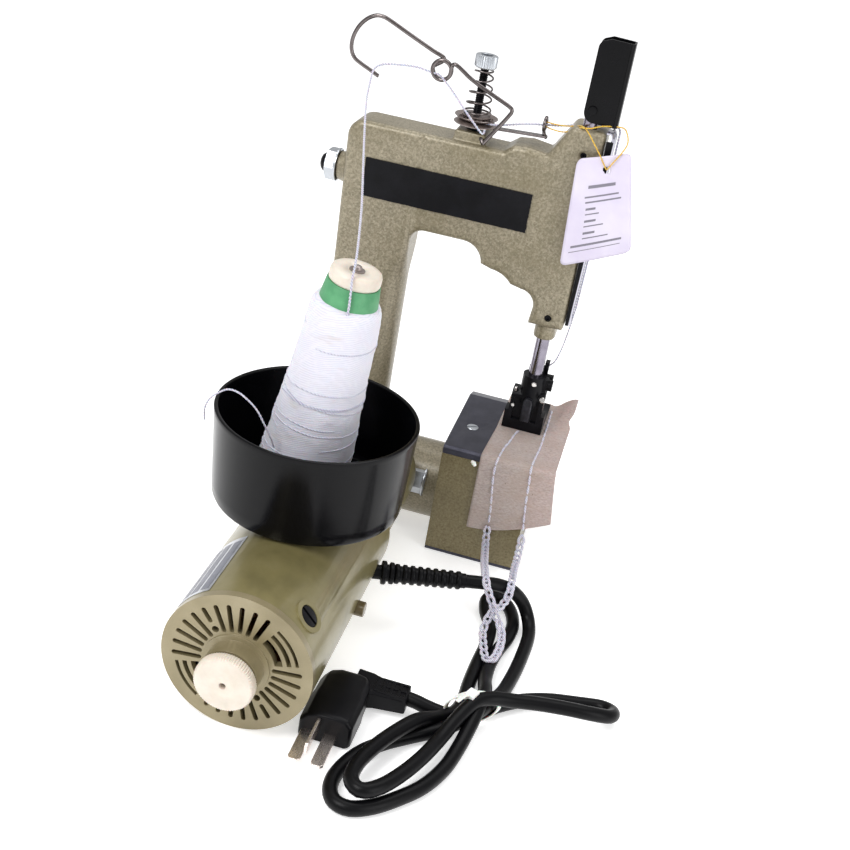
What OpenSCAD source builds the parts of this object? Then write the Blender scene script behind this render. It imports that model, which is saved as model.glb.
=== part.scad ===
// Portable bag closing machine. Millimetres, +Z up, +X along the arm to the head.
// The origin lies on the floor, straight below the needle.

/* [Head and arm] */
// Front face of the arm casting
arm_front = -19; // [-20:0.5:-18.5]
// Back face of the arm casting
arm_back = 9; // [8.5:0.5:10]
// Height of the arm's flat top
arm_top = 236.5; // [235:0.5:238]
// Height of the head's top
head_top = 258; // [257:0.5:258.5]
// Left side of the column
column_left = -131; // [-132:0.5:-130]
// Radius of the presser bar
presser_r = 4; // [3.5:0.1:4]
// Radius of the needle bar
needle_bar_r = 3.5; // [3:0.1:3.5]

/* [Looper block] */
// Left side of the looper block
block_left = -39.5; // [-40:0.5:-39]
// Right side of the looper block
block_right = 15; // [14.5:0.5:16]
// Front of the looper block
block_front = -57; // [-58:0.5:-56]
// Back of the looper block
block_back = 30; // [29:0.5:31]
// Height of the block's casting
block_top = 66.5; // [66:0.5:67]
// Height of the needle plate's working face
plate_top = 71.5; // [71:0.5:71.5]
// Outer radius of the lower arm tube
tube_r = 23.75; // [23.5:0.05:23.75]

/* [Motor] */
// Outer radius of the motor shell
motor_r = 37.5; // [37:0.5:37.5]
// Distance of the motor's axis from the needle, to the left
motor_x = -88.5; // [-89:0.5:-88]
// Front face of the motor
motor_front = -252; // [-253:0.5:-251]
// Back end of the motor shell
motor_rear = -111; // [-112:0.5:-110]
// Radius of the hand knob
knob_r = 14.7; // [13:0.1:15]

/* [Thread cup and cone] */
// Radius of the cup's rim
cup_r = 51.7; // [50:0.1:52]
// Radius of the cup's bottom
cup_bottom_r = 49; // [47:0.5:50]
// Height of the cup
cup_h = 49.5; // [45:0.5:50]
// Lean of the cone towards the arm, in degrees
cone_lean = 7; // [5:0.5:8]

/* [Mains cable] */
// Diameter of the mains cable
cable_d = 7.4; // [7:0.1:7.5]

/* [Hidden] */
$fn = 48;
eps = 0.01;
bar_gap = 0.05;
arm_mid = (arm_front + arm_back) / 2;
presser_y = -10;
motor_z = motor_r;
shaft_y = -5;
lower_z = 24;
upper_z = 204.5;
shaft_r = 4;
bush_r = 7;
crank_throw = 7.5;
stud_z = 175;
stroke = 15;
lever_pin_z = 268;
case_top = 50;
worm_start = -16;
worm_len = 20;
worm_lead = 7.46;
wheel_teeth = 16;
wheel_r = 9.5;
wheel_half_w = 2.5;
wheel_twist = 8.95;
stator_y = [-205, -150];
commutator_y = [-243, -230];
brush_y = -236.5;
brush_angle = 43.5;
cup_x = -91;
cup_y = -155;
cup_floor = 75.6;
cup_wall = 2.2;
cone_foot = [-96.5, -155, 81.2];
exit_point = [-52, -139, 30];
exit_turn = 16.7;
tension_x = -63;
guide_y = -14;
button_y = -176;

// ---- general shapes -------------------------------------------------------

module box(x, y, z) {
    translate([x[0], y[0], z[0]]) cube([x[1] - x[0], y[1] - y[0], z[1] - z[0]]);
}

module rod_x(r, x0, x1, y, z) {
    translate([x0, y, z]) rotate([0, 90, 0]) cylinder(r = r, h = x1 - x0);
}

module rod_y(r, y0, y1, x, z) {
    translate([x, y0, z]) rotate([-90, 0, 0]) cylinder(r = r, h = y1 - y0);
}

module rod_z(r, z0, z1, x = 0, y = 0) {
    translate([x, y, z0]) cylinder(r = r, h = z1 - z0);
}

// An outline in X and Z, as thick as the stretch y
module slab_y(points, y) {
    translate([0, y[1], 0]) rotate([90, 0, 0]) linear_extrude(y[1] - y[0]) polygon(points);
}

// An outline in Y and Z, as thick as the stretch x
module slab_x(points, x) {
    translate([x[0], 0, 0]) rotate([90, 0, 90]) linear_extrude(x[1] - x[0]) polygon(points);
}

function arc(cx, cy, r, a0, a1, n = 6) =
    [for (i = [0 : n]) let (a = a0 + (a1 - a0) * i / n) [cx + r * cos(a), cy + r * sin(a)]];

function unit(v) = v / norm(v);

function along(p, i) = unit(p[min(i + 1, len(p) - 1)] - p[max(i - 1, 0)]);

// A frame across the path: an upward-leaning normal and its partner
function side(t) = unit(cross(t, abs(t[2]) > 0.9 ? [0, 1, 0] : [0, 0, 1]));

// A round tube of radius r swept along a list of points
module tube(p, r, sides = 8) {
    n = len(p);
    rings = [for (i = [0 : n - 1])
        let (t = along(p, i), s = side(t), u = cross(s, t))
        for (k = [0 : sides - 1]) p[i] + r * (cos(360 * k / sides) * s + sin(360 * k / sides) * u)];
    walls = [for (i = [0 : n - 2], k = [0 : sides - 1])
        let (a = i * sides + k, b = i * sides + (k + 1) % sides) [a, b, b + sides, a + sides]];
    ends = [[for (k = [sides - 1 : -1 : 0]) k], [for (k = [0 : sides - 1]) (n - 1) * sides + k]];
    polyhedron(points = rings, faces = concat(walls, ends), convexity = 6);
}

// A coil whose radius and height run evenly from one end to the other
function coil(r0, r1, z0, z1, turns, steps = 14) =
    [for (i = [0 : turns * steps])
        let (t = i / (turns * steps), r = r0 + (r1 - r0) * t, a = 360 * turns * t)
        [r * cos(a), r * sin(a), z0 + (z1 - z0) * t]];

// Catmull-Rom points between hand-chosen ones, n to each stretch
function smooth(p, n) = concat([for (i = [0 : len(p) - 2], k = [0 : n - 1])
    let (a = p[max(i - 1, 0)], b = p[i], c = p[i + 1], d = p[min(i + 2, len(p) - 1)], t = k / n)
    0.5 * (2 * b + (c - a) * t + (2 * a - 5 * b + 4 * c - d) * t * t
        + (3 * b - a - 3 * c + d) * t * t * t)], [p[len(p) - 1]]);

// ---- casting --------------------------------------------------------------

frame_outline = concat(
    [[column_left + 2, case_top], [column_left + 1, 160]],
    arc(column_left + 9, arm_top - 9.5, 9.5, 180, 92),
    [[-43, arm_top], [-38, 240.5], [-30, 241.5], [-19, 240]],
    arc(-6, head_top - 4, 4, 150, 90, 3),
    arc(7.5, head_top - 3, 3, 90, 0, 3),
    [[10.8, 147], [9.8, 141.5], [-10.5, 141.5]],
    arc(-18.5, 151.5, 9, 0, 90),
    arc(-38, 151, 17, 40, 88),
    arc(-56, 169, 12, 5, 90),
    arc(-79, 173, 8, 90, 180),
    [[-87, case_top]]);

belt_cavity = [[-126, 40], [-92, 40], [-92, 189], [-46, 189], [-46, 230], [-120, 230], [-126, 224]];
head_cavity = [[-40, 231], [-40, 182], [-30, 174], [-14, 167], [7, 167], [7, 249], [-5, 249], [-14, 233]];
cover_outline = [[-128, 56], [-90, 56], [-90, 186], [-50, 186], [-38, 178], [-14, 163.5], [8.5, 163.5],
                 [8.5, 253], [-6.5, 253], [-17, 236.5], [-38, 236.5], [-42, 233], [-122, 233], [-128, 226]];

module frame_casting() {
    color("#9b9585") difference() {
        union() {
            slab_y(frame_outline, [arm_front, arm_back]);
            box([-6.3, 6.3], [presser_y, 0], [133, 143]);
            rod_z(6.3, 133, 143, 0, presser_y);
            rod_z(6.3, 133, 143, 0, 0);
            translate([column_left + 1, shaft_y, upper_z]) rotate([0, -90, 0])
                cylinder(r1 = 9.5, r2 = 8, h = 7);
            box([-72, -54], [-15, 5], [arm_top - 1, 242]);
        }
        slab_y(belt_cavity, [-15, arm_back + 1]);
        slab_y(head_cavity, [-16.5, arm_back + 1]);
        rod_z(presser_r + bar_gap, 130, head_top + 5, 0, presser_y);
        rod_z(needle_bar_r + bar_gap, 130, 170, 0, 0);
        rod_x(bush_r, -50, -36, shaft_y, upper_z);
        rod_x(bush_r, -139, -120, shaft_y, upper_z);
        rod_y(2.1, arm_front - 1, presser_y, 0.7, 147.6);
        rod_y(1.8, arm_front - 1, -16.4, 0.5, 243.9);
        rod_z(2.5, 230, 243, tension_x, shaft_y);
    }
}

module back_cover() {
    color("#8f8a7a") difference() {
        slab_y(cover_outline, [arm_back, arm_back + 2]);
        for (p = [[-124, 70], [-124, 220], [-44, 228], [2, 168], [3, 248]])
            rod_y(1.8, arm_back - 1, arm_back + 3, p[0], p[1]);
    }
}

module gear_case() {
    color("#8e8668") difference() {
        union() {
            box([column_left, -72], [-44, 12], [0, case_top]);
            rod_y(34, motor_rear, -44, motor_x, motor_z);
        }
        box([-126, -77], [-38, 8], [5, 45]);
        box([-126, -92], [-15, 7], [44, case_top + 1]);
        rod_y(29, motor_rear - 1, -48, motor_x, motor_z);
        rod_y(11, -49, -41, motor_x, motor_z);
        rod_y(6, -42, -37, motor_x, motor_z);
        rod_x(bush_r, -78, -71, shaft_y, lower_z);
        rod_x(bush_r, -129, -125, shaft_y, lower_z);
    }
}

module lower_arm_tube() {
    color("#8b8475") difference() {
        rod_x(tube_r, -72, block_left, -14, tube_r);
        rod_x(9, -73, block_left + 1, shaft_y, lower_z);
        box([-62.5, -43.5], [-42, -21.5], [17, 50]);
        rod_x(4.1, -44, block_left + 1, -31.5, 30);
    }
}

module looper_block() {
    color("#8e8668") difference() {
        box([block_left, block_right], [block_front, block_back], [2, block_top]);
        box([block_left + 4.5, block_right - 4.5], [block_front + 5, block_back - 5], [1, 62]);
        box([-9, 9], [-18, 20], [60, block_top + 1]);
        rod_x(bush_r, block_left - 1, block_left + 5, shaft_y, lower_z);
        rod_x(3.3, block_left - 1, block_left + 5, -31.5, 30);
        rod_x(3.55, block_left - 1, block_left + 5, 20, 42);
        rod_z(2, 58, block_top + 1, -28.6, -25.5);
    }
}

module bottom_cover() {
    color("#4a4a48") box([block_left, block_right], [block_front, block_back], [0, 2]);
}

module needle_plate() {
    color("#3c3f4a") difference() {
        slab_x([[block_front, block_top], [block_front, plate_top - 1.5], [block_front + 1.5, plate_top],
                [18, plate_top], [block_back, plate_top - 3.5], [block_back, block_top]],
               [block_left, block_right]);
        rod_z(1.6, 60, 80, 0, 0);
        for (x = [-6.7, 2.9]) box([x, x + 3.8], [-14, 11], [60, 80]);
        rod_z(2, 60, 80, -28.6, -25.5);
        translate([-28.6, -25.5, plate_top - 2]) cylinder(r1 = 2, r2 = 4.01, h = 2.01);
    }
}

module fixing_screws() {
    color("silver") {
        difference() {
            union() {
                translate([-28.6, -25.5, plate_top - 2]) cylinder(r1 = 2, r2 = 4, h = 2);
                rod_z(2, 60, plate_top - 2, -28.6, -25.5);
            }
            box([-33, -24], [-26, -25], [plate_top - 0.8, plate_top + 1]);
        }
        for (p = [[-124, 70], [-124, 220], [-44, 228], [2, 168], [3, 248]]) {
            rod_y(1.8, arm_back, arm_back + 2, p[0], p[1]);
            rod_y(3.2, arm_back + 2, arm_back + 4, p[0], p[1]);
        }
    }
    color("dimgray") difference() {
        rod_y(2.1, -17.5, presser_y - presser_r - 0.2, 0.7, 147.6);
        rod_y(1, -18, -16, 0.7, 147.6);
    }
}

module hex_bolts() {
    color("silver") {
        translate([-137, shaft_y, upper_z]) rotate([0, -90, 0]) rotate([0, 0, 30]) cylinder(r = 9.4, h = 7, $fn = 6);
        rod_x(bush_r, -137, -131, shaft_y, upper_z);
        translate([-49.5, -31.5, 30]) rotate([0, -90, 0]) cylinder(r = 9.4, h = 8, $fn = 6);
        rod_x(3.3, -49.5, -36, -31.5, 30);
    }
    color("#202020") translate([-144, shaft_y, upper_z]) rotate([0, -90, 0]) cylinder(r1 = 5.4, r2 = 4, h = 4);
}

// ---- stitch-forming parts -------------------------------------------------

module feed_dog() {
    tooth = 2;
    teeth = 8;
    rack = concat([[-10, 54], [6, 54], [6, 70.2]],
        [for (i = [teeth - 1 : -1 : 0], k = [0 : 1]) [-10 + tooth * (i + 1 - k), k == 0 ? 70.2 : 71.3]]);
    color("#b8b8b4") {
        for (x = [-6.1, 3.5]) slab_x(rack, [x, x + 2.6]);
        difference() {
            box([-9, 9], [-11, 8], [50, 55]);
            rod_z(2, 49, 56, 0, 0);
            for (x = [-6.1, 3.5]) box([x, x + 2.6], [-10, 6], [54, 56]);
        }
    }
}

module looper() {
    blade = [[18, 42], [22, 42], [21, 60], [17, 63], [4, 62.6], [-5, 61], [5, 59.6], [14, 59.4], [16.5, 57]];
    color("#c4c4c0") {
        rod_x(3.5, block_left, 8, 20, 42);
        slab_x(blade, [1.4, 3]);
    }
}

module lower_shaft() {
    color("#a9a9a6") {
        rod_x(shaft_r, -128, -14, shaft_y, lower_z);
        rod_x(8, -22, -14, shaft_y, lower_z - 2);
    }
}

wheel_outline = [for (i = [0 : wheel_teeth - 1])
    for (q = [[8.1, -6.5], [9.5, -3.8], [10.45, -1.9], [10.45, 1.9], [9.5, 3.8], [8.1, 6.5]])
        let (a = 90 + (i + 0.5) * 360 / wheel_teeth + q[1]) [q[0] * cos(a), q[0] * sin(a)]];

module worm_wheel() {
    color("#e8e2cf") difference() {
        union() {
            translate([motor_x - wheel_half_w, shaft_y, lower_z]) rotate([90, 0, 90])
                rotate(-wheel_twist / 2)
                linear_extrude(2 * wheel_half_w, twist = -wheel_twist, slices = 3) polygon(wheel_outline);
            rod_x(6.5, motor_x - 5, motor_x + 5, shaft_y, lower_z);
        }
        rod_x(shaft_r, motor_x - 6, motor_x + 6, shaft_y, lower_z);
    }
}

module belt_wheel(z) {
    difference() {
        union() {
            rod_x(8, -115, -105, shaft_y, z);
            for (x = [-116.5, -105]) rod_x(9.2, x, x + 1.5, shaft_y, z);
        }
        rod_x(shaft_r, -118, -102, shaft_y, z);
    }
}

module lower_pulley() {
    color("#8c8c88") belt_wheel(lower_z);
}

module upper_pulley() {
    color("#8c8c88") belt_wheel(upper_z);
}

module belt_loop(r, x) {
    for (z = [lower_z, upper_z]) rod_x(r, x[0], x[1], shaft_y, z);
    box(x, [shaft_y - r, shaft_y + r], [lower_z, upper_z]);
}

module timing_belt() {
    color("#262626") difference() {
        belt_loop(9.4, [-114.5, -105.5]);
        belt_loop(8.15, [-115, -105]);
    }
}

module upper_shaft() {
    color("#a9a9a6") rod_x(shaft_r, -128, -25, shaft_y, upper_z);
}

module crank_disc() {
    color("#9a9a96") difference() {
        union() {
            rod_x(9.6, -32, -25, shaft_y, upper_z);
            rod_x(2, -25, -21, shaft_y, upper_z - crank_throw);
        }
        rod_x(shaft_r, -33, -25, shaft_y, upper_z);
    }
}

module ring_x(r, bore, x0, x1, z) {
    difference() {
        rod_x(r, x0, x1, shaft_y, z);
        rod_x(bore, x0 - 1, x1 + 1, shaft_y, z);
    }
}

module shaft_bushes() {
    color("#b08d57") {
        ring_x(bush_r, shaft_r + bar_gap, -129, -125, lower_z);
        ring_x(bush_r, shaft_r + bar_gap, -78, -72, lower_z);
        ring_x(bush_r, shaft_r + bar_gap, block_left, block_left + 7, lower_z);
        ring_x(bush_r, shaft_r + bar_gap, -130, -120, upper_z);
        ring_x(bush_r, shaft_r + bar_gap, -47, -38, upper_z);
    }
}

module connecting_rod() {
    color("#b5b5b1") difference() {
        union() {
            rod_x(4.6, -20.5, -15.5, 0, stud_z);
            rod_x(5, -20.5, -15.5, shaft_y, upper_z - crank_throw);
            slab_x([[-2.6, stud_z], [2.6, stud_z], [-2.4, upper_z - crank_throw], [-7.6, upper_z - crank_throw]],
                   [-20.5, -15.5]);
        }
        rod_x(2.5, -21, -15, 0, stud_z);
        rod_x(2.5, -21, -15, shaft_y, upper_z - crank_throw);
    }
}

module needle_bar() {
    color("#c9c9c6") {
        difference() {
            rod_z(needle_bar_r, 98, 190, 0, 0);
            rod_z(1, 97, 106, 0, 0);
        }
        difference() {
            union() {
                box([-6, 5], [-5.3, 5.5], [stud_z - 5, stud_z + 5]);
                rod_x(2.45, -21, -5.5, 0, stud_z);
            }
            rod_z(needle_bar_r, 160, 190, 0, 0);
        }
    }
}

module needle_clamp() {
    color("#1f1f22") {
        difference() {
            union() {
                intersection() {
                    rod_z(5.2, 98, 109, 0, 0);
                    box([-6, 6], [-5, 6], [98, 109]);
                }
                box([4, 6.5], [-3, 2], [99, 114]);
                rod_x(2.8, 6.5, 10.5, -0.5, 103);
            }
            rod_z(needle_bar_r, 90, 120, 0, 0);
            rod_x(0.9, 3, 8, -0.5, 111.5);
            box([9.6, 11], [-1, 0], [99, 107]);
        }
    }
}

module needle() {
    color("#dddddb") {
        rod_z(1, 66, 106, 0, 0);
        translate([0, 0, 60]) cylinder(r1 = 0.1, r2 = 1, h = 6);
    }
}

// ---- presser and lifter ---------------------------------------------------

module presser_bar() {
    color("#c9c9c6") {
        difference() {
            union() {
                rod_z(presser_r, 84, 274, 0, presser_y);
                rod_z(5.3, 197, 200, 0, presser_y);
            }
            rod_y(1.5, -16, -4, 0, lever_pin_z);
        }
        rod_y(1.5, -15.9, -4.1, 0, lever_pin_z);
    }
}

module presser_spring() {
    color("#8f8f8c") translate([0, presser_y, 0]) tube(coil(5, 5, 200.6, 248.4, 9), 0.55, 6);
}

foot_side = [[-16, 72.4], [-16, 77], [-15.3, 95], [-13, 97.5], [-6, 97.5], [-6, 79], [3, 75.7], [20, 74.9],
             [22.5, 75.7], [23, 74.7], [20, 72.4]];

module presser_foot() {
    color("#141416") difference() {
        union() {
            difference() {
                slab_x(foot_side, [-13, 11.2]);
                for (s = [[-14, -10.8], [9, 12]]) box(s, [-17, -5], [84, 99]);
                box([-2.6, 2.6], [-5.6, 30], [70, 100]);
                for (s = [[-8.6, -3.5], [3.5, 6.6]]) box(s, [-17, -14.4], [79, 93]);
            }
            intersection() {
                rod_z(7, 90, 108, 0, presser_y);
                box([-7, 7], [-17, -5.5], [90, 108]);
            }
            box([4, 8.5], [-13, -7], [99, 107]);
        }
        rod_z(presser_r, 84, 120, 0, presser_y);
        rod_x(1.6, 3, 9, presser_y, 103);
    }
}

module foot_screw() {
    color("#3a3a3c") {
        rod_x(1.6, 4.2, 8.5, presser_y, 103);
        difference() {
            rod_x(3.4, 8.5, 11.5, presser_y, 103);
            box([10.7, 12], [presser_y - 0.5, presser_y + 0.5], [99, 107]);
        }
    }
}

lever_cheek = concat(arc(1, 267, 5.8, 180, 270, 5), [[15, 261], [15, 306], [1, 306]],
                     arc(1, 302, 4, 120, 170, 3));

module lifter_lever() {
    color("#17171a") difference() {
        union() {
            for (y = [-15.4, -5.6]) slab_y(lever_cheek, [y, y + 1]);
            box([14, 15], [-14.4, -5.6], [260.4, 306]);
        }
        rod_y(1.55, -17, -3, 0, lever_pin_z);
    }
}

module face_cover() {
    front = -17;
    back = -4;
    color("#d6d6d8") {
        slab_y([[12.6, 145.5], [13.9, 145.5], [15.8, 256], [14.3, 258.3], [12.2, 258.3], [12.2, 257], [14, 257],
                [14.5, 255.5]], [front, back]);
        slab_y([[10.9, 149], [12.6, 149], [14.4, 255], [10.9, 255]], [back - 1, back]);
    }
}

module cover_edging() {
    color("#141414") slab_y([[11, 146], [12.9, 146], [14.8, 254], [11, 254]], [-18.8, -17]);
}

// ---- motor ----------------------------------------------------------------

module around_motor(a) {
    translate([motor_x, 0, motor_z]) rotate([0, -a, 0]) children();
}

module motor_shell() {
    color("#948c63") {
        difference() {
            union() {
                rod_y(motor_r, motor_front + 4, motor_rear - 6, motor_x, motor_z);
                translate([motor_x, motor_rear - 6, motor_z]) rotate([-90, 0, 0])
                    cylinder(r1 = motor_r, r2 = motor_r - 5, h = 6);
                for (a = [brush_angle, brush_angle + 180])
                    around_motor(a) rod_x(8.2, 34, motor_r + 0.7, brush_y, 0);
                box([cup_x - 14, cup_x + 14], [cup_y - 12, cup_y + 12], [motor_z + 30, cup_floor]);
            }
            rod_y(motor_r - 2.5, motor_front + 3, motor_rear - 9, motor_x, motor_z);
            rod_y(11, motor_rear - 10, motor_rear + 1, motor_x, motor_z);
            for (a = [brush_angle, brush_angle + 180])
                around_motor(a) rod_x(5.6, 30, 50, brush_y, 0);
            translate(exit_point) rotate([0, 90, exit_turn]) translate([0, 0, -8]) cylinder(r = 4.2, h = 20);
            rod_x(4.1, -70, -48, button_y, 31);
            rod_z(3, 60, 80, cup_x, cup_y);
        }
    }
}

module slot(a, r0, r1, w) {
    rotate(a) {
        translate([r0, -w / 2]) square([r1 - r0, w]);
        for (r = [r0, r1]) translate([r, 0]) circle(d = w, $fn = 16);
    }
}

module arc_slot(r, w, a0, a1) {
    polygon(concat(arc(0, 0, r + w / 2, a0, a1, 8), arc(0, 0, r - w / 2, a1, a0, 8)));
}

module vents() {
    for (half = [0, 180], i = [0 : 10]) {
        a = half + 66 + 12 * i;
        if (i != 5) slot(a, 18.5, 31, 2.3);
        if (i == 5) {
            slot(a, 25, 31, 2.3);
            rotate(a) translate([20, 0]) circle(r = 1.7, $fn = 16);
        }
    }
    for (half = [0, 180]) {
        arc_slot(21, 4, half + 15, half + 54);
        arc_slot(26.2, 2.2, half + 15, half + 54);
        arc_slot(30.2, 1.6, half + 15, half + 54);
    }
}

module motor_end_cap() {
    color("#978f70") difference() {
        union() {
            rod_y(motor_r, motor_front, motor_front + 4, motor_x, motor_z);
            rod_y(16.5, motor_front - 1.2, motor_front, motor_x, motor_z);
            rod_y(14, motor_front - 10, motor_front + 9, motor_x, motor_z);
        }
        translate([motor_x, motor_front + 5, motor_z]) rotate([90, 0, 0]) linear_extrude(8) vents();
        rod_y(11, motor_front + 2, motor_front + 10, motor_x, motor_z);
        rod_y(5, motor_front - 11, motor_front + 3, motor_x, motor_z);
    }
}

module ring_y(r, bore, y, x = motor_x, z = motor_z) {
    difference() {
        rod_y(r, y[0], y[1], x, z);
        rod_y(bore, y[0] - 1, y[1] + 1, x, z);
    }
}

module motor_stator() {
    color("#6d5a3c") {
        difference() {
            ring_y(motor_r - 2.5, 24, stator_y);
            box([-63, -50], [button_y - 7, button_y + 7], [24, 38]);
        }
        for (s = [-1, 1]) translate([s * 29.5, 0, 0]) ring_y(4.5, 1, [stator_y[0] - 8, stator_y[0]]);
    }
}

module motor_rotor() {
    color("#8a5a32") {
        ring_y(23.3, shaft_r, [stator_y[0] + 2, stator_y[1] - 2]);
        ring_y(11, shaft_r, commutator_y);
    }
    color("#dadada") {
        ring_y(8, shaft_r, [-139, -125]);
        for (a = [0 : 45 : 315]) around_motor(a) box([7, 31], [-139, -127], [-0.8, 0.8]);
    }
}

module motor_shaft() {
    color("#b9b9b6") {
        rod_y(shaft_r, -264, worm_start - 2, motor_x, motor_z);
        rod_y(2.2, worm_start - 2, 5, motor_x, motor_z);
    }
}

// One thread of the two-start worm, as a ridge swept round the shaft
module worm_thread(start) {
    steps = 60;
    turns = (worm_len - 4) / worm_lead;
    section = [[2.6, -1.05], [5.05, -0.3], [5.05, 0.3], [2.6, 1.05]];
    rings = [for (i = [0 : steps], q = section)
        let (a = 360 * turns * i / steps, y = worm_start + 2 + worm_lead * (a / 360) + q[1],
             b = a + start + 360 * (worm_start + 2 - shaft_y) / worm_lead + 180)
        [q[0] * sin(b), y, q[0] * cos(b)]];
    walls = [for (i = [0 : steps - 1], k = [0 : 3])
        let (u = i * 4 + k, v = i * 4 + (k + 1) % 4) [u, v, v + 4, u + 4]];
    translate([motor_x, 0, motor_z])
        polyhedron(points = rings, faces = concat(walls, [[3, 2, 1, 0]],
            [[steps * 4, steps * 4 + 1, steps * 4 + 2, steps * 4 + 3]]), convexity = 8);
}

module motor_worm() {
    color("#c2c2bf") difference() {
        union() {
            rod_y(2.9, worm_start, worm_start + worm_len, motor_x, motor_z);
            for (s = [0, 180]) worm_thread(s);
        }
        rod_y(2.2, worm_start - 1, worm_start + worm_len + 1, motor_x, motor_z);
    }
}

module ball_bearings() {
    color("#c8c8c8") {
        ring_y(11, shaft_r + bar_gap, [motor_front + 2.5, motor_front + 9]);
        ring_y(11, shaft_r + bar_gap, [motor_rear - 7.5, motor_rear]);
        ring_y(11, shaft_r + bar_gap, [-48, -41.5]);
    }
}

module carbon_brushes() {
    color("#2b2b2b") for (a = [brush_angle, brush_angle + 180])
        around_motor(a) box([11.1, 32], [brush_y - 3, brush_y + 3], [-3, 3]);
}

module brush_caps() {
    color("#161616") for (a = [brush_angle, brush_angle + 180]) around_motor(a) difference() {
        rod_x(5.6, 32.2, motor_r + 1, brush_y, 0);
        box([motor_r - 0.5, motor_r + 2], [brush_y - 4, brush_y + 4], [-0.7, 0.7]);
    }
}

module hand_knob() {
    teeth = 56;
    color("#e6dfd2") difference() {
        union() {
            translate([motor_x, -263.2, motor_z]) rotate([90, 0, 0]) linear_extrude(5.8)
                polygon([for (i = [0 : 2 * teeth - 1]) let (a = 180 * i / teeth, r = knob_r - (i % 2) * 0.6)
                    [r * cos(a), r * sin(a)]]);
            rod_y(13, -270, -269, motor_x, motor_z);
        }
        rod_y(shaft_r, -264.5, -260, motor_x, motor_z);
        rod_y(1.6, -271, -264, motor_x, motor_z);
    }
}

module switch_button() {
    color("#7a6f4c") {
        rod_x(4, -57.6, -47, button_y, 31);
        rod_x(5.5, -60, -57.5, button_y, 31);
    }
}

// ---- cable, plug ----------------------------------------------------------

module at_exit() {
    translate(exit_point) rotate([0, 90, exit_turn]) children();
}

module strain_relief() {
    color("#1b1b1d") at_exit() {
        translate([0, 0, -4]) cylinder(r = 4.1, h = 8);
        translate([0, 0, 3.6]) cylinder(r = 6.4, h = 2.6);
        translate([0, 0, 6.2]) cylinder(r = 4.6, h = 1.6);
        translate([0, 0, 7.8]) cylinder(r = 6, h = 2.6);
        translate([0, 0, 10.4]) cylinder(r1 = 5.2, r2 = 4.6, h = 40);
        for (i = [0 : 8]) translate([0, 0, 14 + 4 * i]) cylinder(r = 5.4, h = 1.8);
    }
}

lead_route = [[-3.3, -124.3, 30], [2, -122.8, 30], [8, -120.5, 29.8], [15, -116.3, 28], [20.5, -112.6, 24.5],
              [24.5, -110.5, 21]];

module cable_lead() {
    color("#1b1b1d") tube(smooth(lead_route, 2), cable_d / 2, 10);
}

module cable_hank() {
    color("#1b1b1d") linear_extrude(17) {
        hull() {
            translate([-20, -268]) circle(r = 15, $fn = 32);
            translate([-4, -246]) circle(r = 21, $fn = 32);
            translate([21, -203]) circle(r = 14, $fn = 32);
        }
        hull() {
            translate([22, -200]) circle(r = 14, $fn = 32);
            translate([30, -142]) circle(r = 12, $fn = 32);
        }
        hull() {
            translate([30, -142]) circle(r = 11, $fn = 32);
            translate([21, -105]) circle(r = 13, $fn = 32);
        }
        hull() {
            translate([28, -198]) circle(r = 10, $fn = 32);
            translate([78, -178]) circle(r = 13, $fn = 32);
        }
        translate([-10, -212]) square([22, 12]);
    }
}

module plug_body() {
    color("#161618") {
        slab_y([[-57, 1], [-55, 0], [-31, 0], [-30, 1], [-30, 15], [-33, 17], [-50, 17], [-57, 13]],
               [-246, -214]);
        slab_y([[-54, 1.5], [-32, 1.5], [-31, 14.5], [-33.5, 16], [-50.5, 16], [-54, 12]], [-220, -199]);
        rod_x(6.5, -34, -13.5, -206.5, 8.5);
        for (i = [0 : 4]) rod_x(7, -30 + 3 * i, -28.4 + 3 * i, -206.5, 8.5);
    }
}

module plug_pins() {
    color("#d9d4cf") {
        box([-54.6, -48.4], [-268, -246], [5.2, 6.8]);
        box([-43.4, -37.2], [-268, -246], [5.2, 6.8]);
        box([-47.6, -46], [-266, -246], [9, 15]);
    }
}

// ---- thread supply --------------------------------------------------------

module thread_cup() {
    color("#101014") translate([cup_x, cup_y, cup_floor]) difference() {
        cylinder(r1 = cup_bottom_r, r2 = cup_r, h = cup_h, $fn = 96);
        translate([0, 0, cup_wall + 0.3])
            cylinder(r1 = cup_bottom_r - cup_wall, r2 = cup_r - cup_wall, h = cup_h, $fn = 96);
        translate([0, 0, -1]) cylinder(r = 3, h = 5);
    }
}

module on_cone() {
    translate(cone_foot) rotate([0, cone_lean, 0]) children();
}

module cone_spindle() {
    color("#b0aaa0") {
        rod_z(3, 73, cup_floor + 4.9, cup_x, cup_y);
        rod_z(5.5, cup_floor + 2.5, cup_floor + 4.9, cup_x, cup_y);
        on_cone() translate([0, 0, -0.4]) cylinder(r = 2.4, h = 126);
    }
}

module thread_cone() {
    color("#f0eff2") on_cone() difference() {
        rotate_extrude($fn = 72) polygon([[12, 0], [20, 0], [24.5, 4], [24.3, 8], [17.4, 104],
            [14.4, 107], [13.2, 117], [12, 117]]);
        translate([0, 0, -1]) cylinder(r = 2.5, h = 110);
    }
}

module cone_cap() {
    color("#ece6d6") on_cone() difference() {
        union() {
            translate([0, 0, 117]) cylinder(r = 12.6, h = 6.5);
            translate([0, 0, 113]) cylinder(r = 11.9, h = 4);
        }
        translate([0, 0, 110]) cylinder(r = 2.5, h = 20);
    }
}

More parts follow.
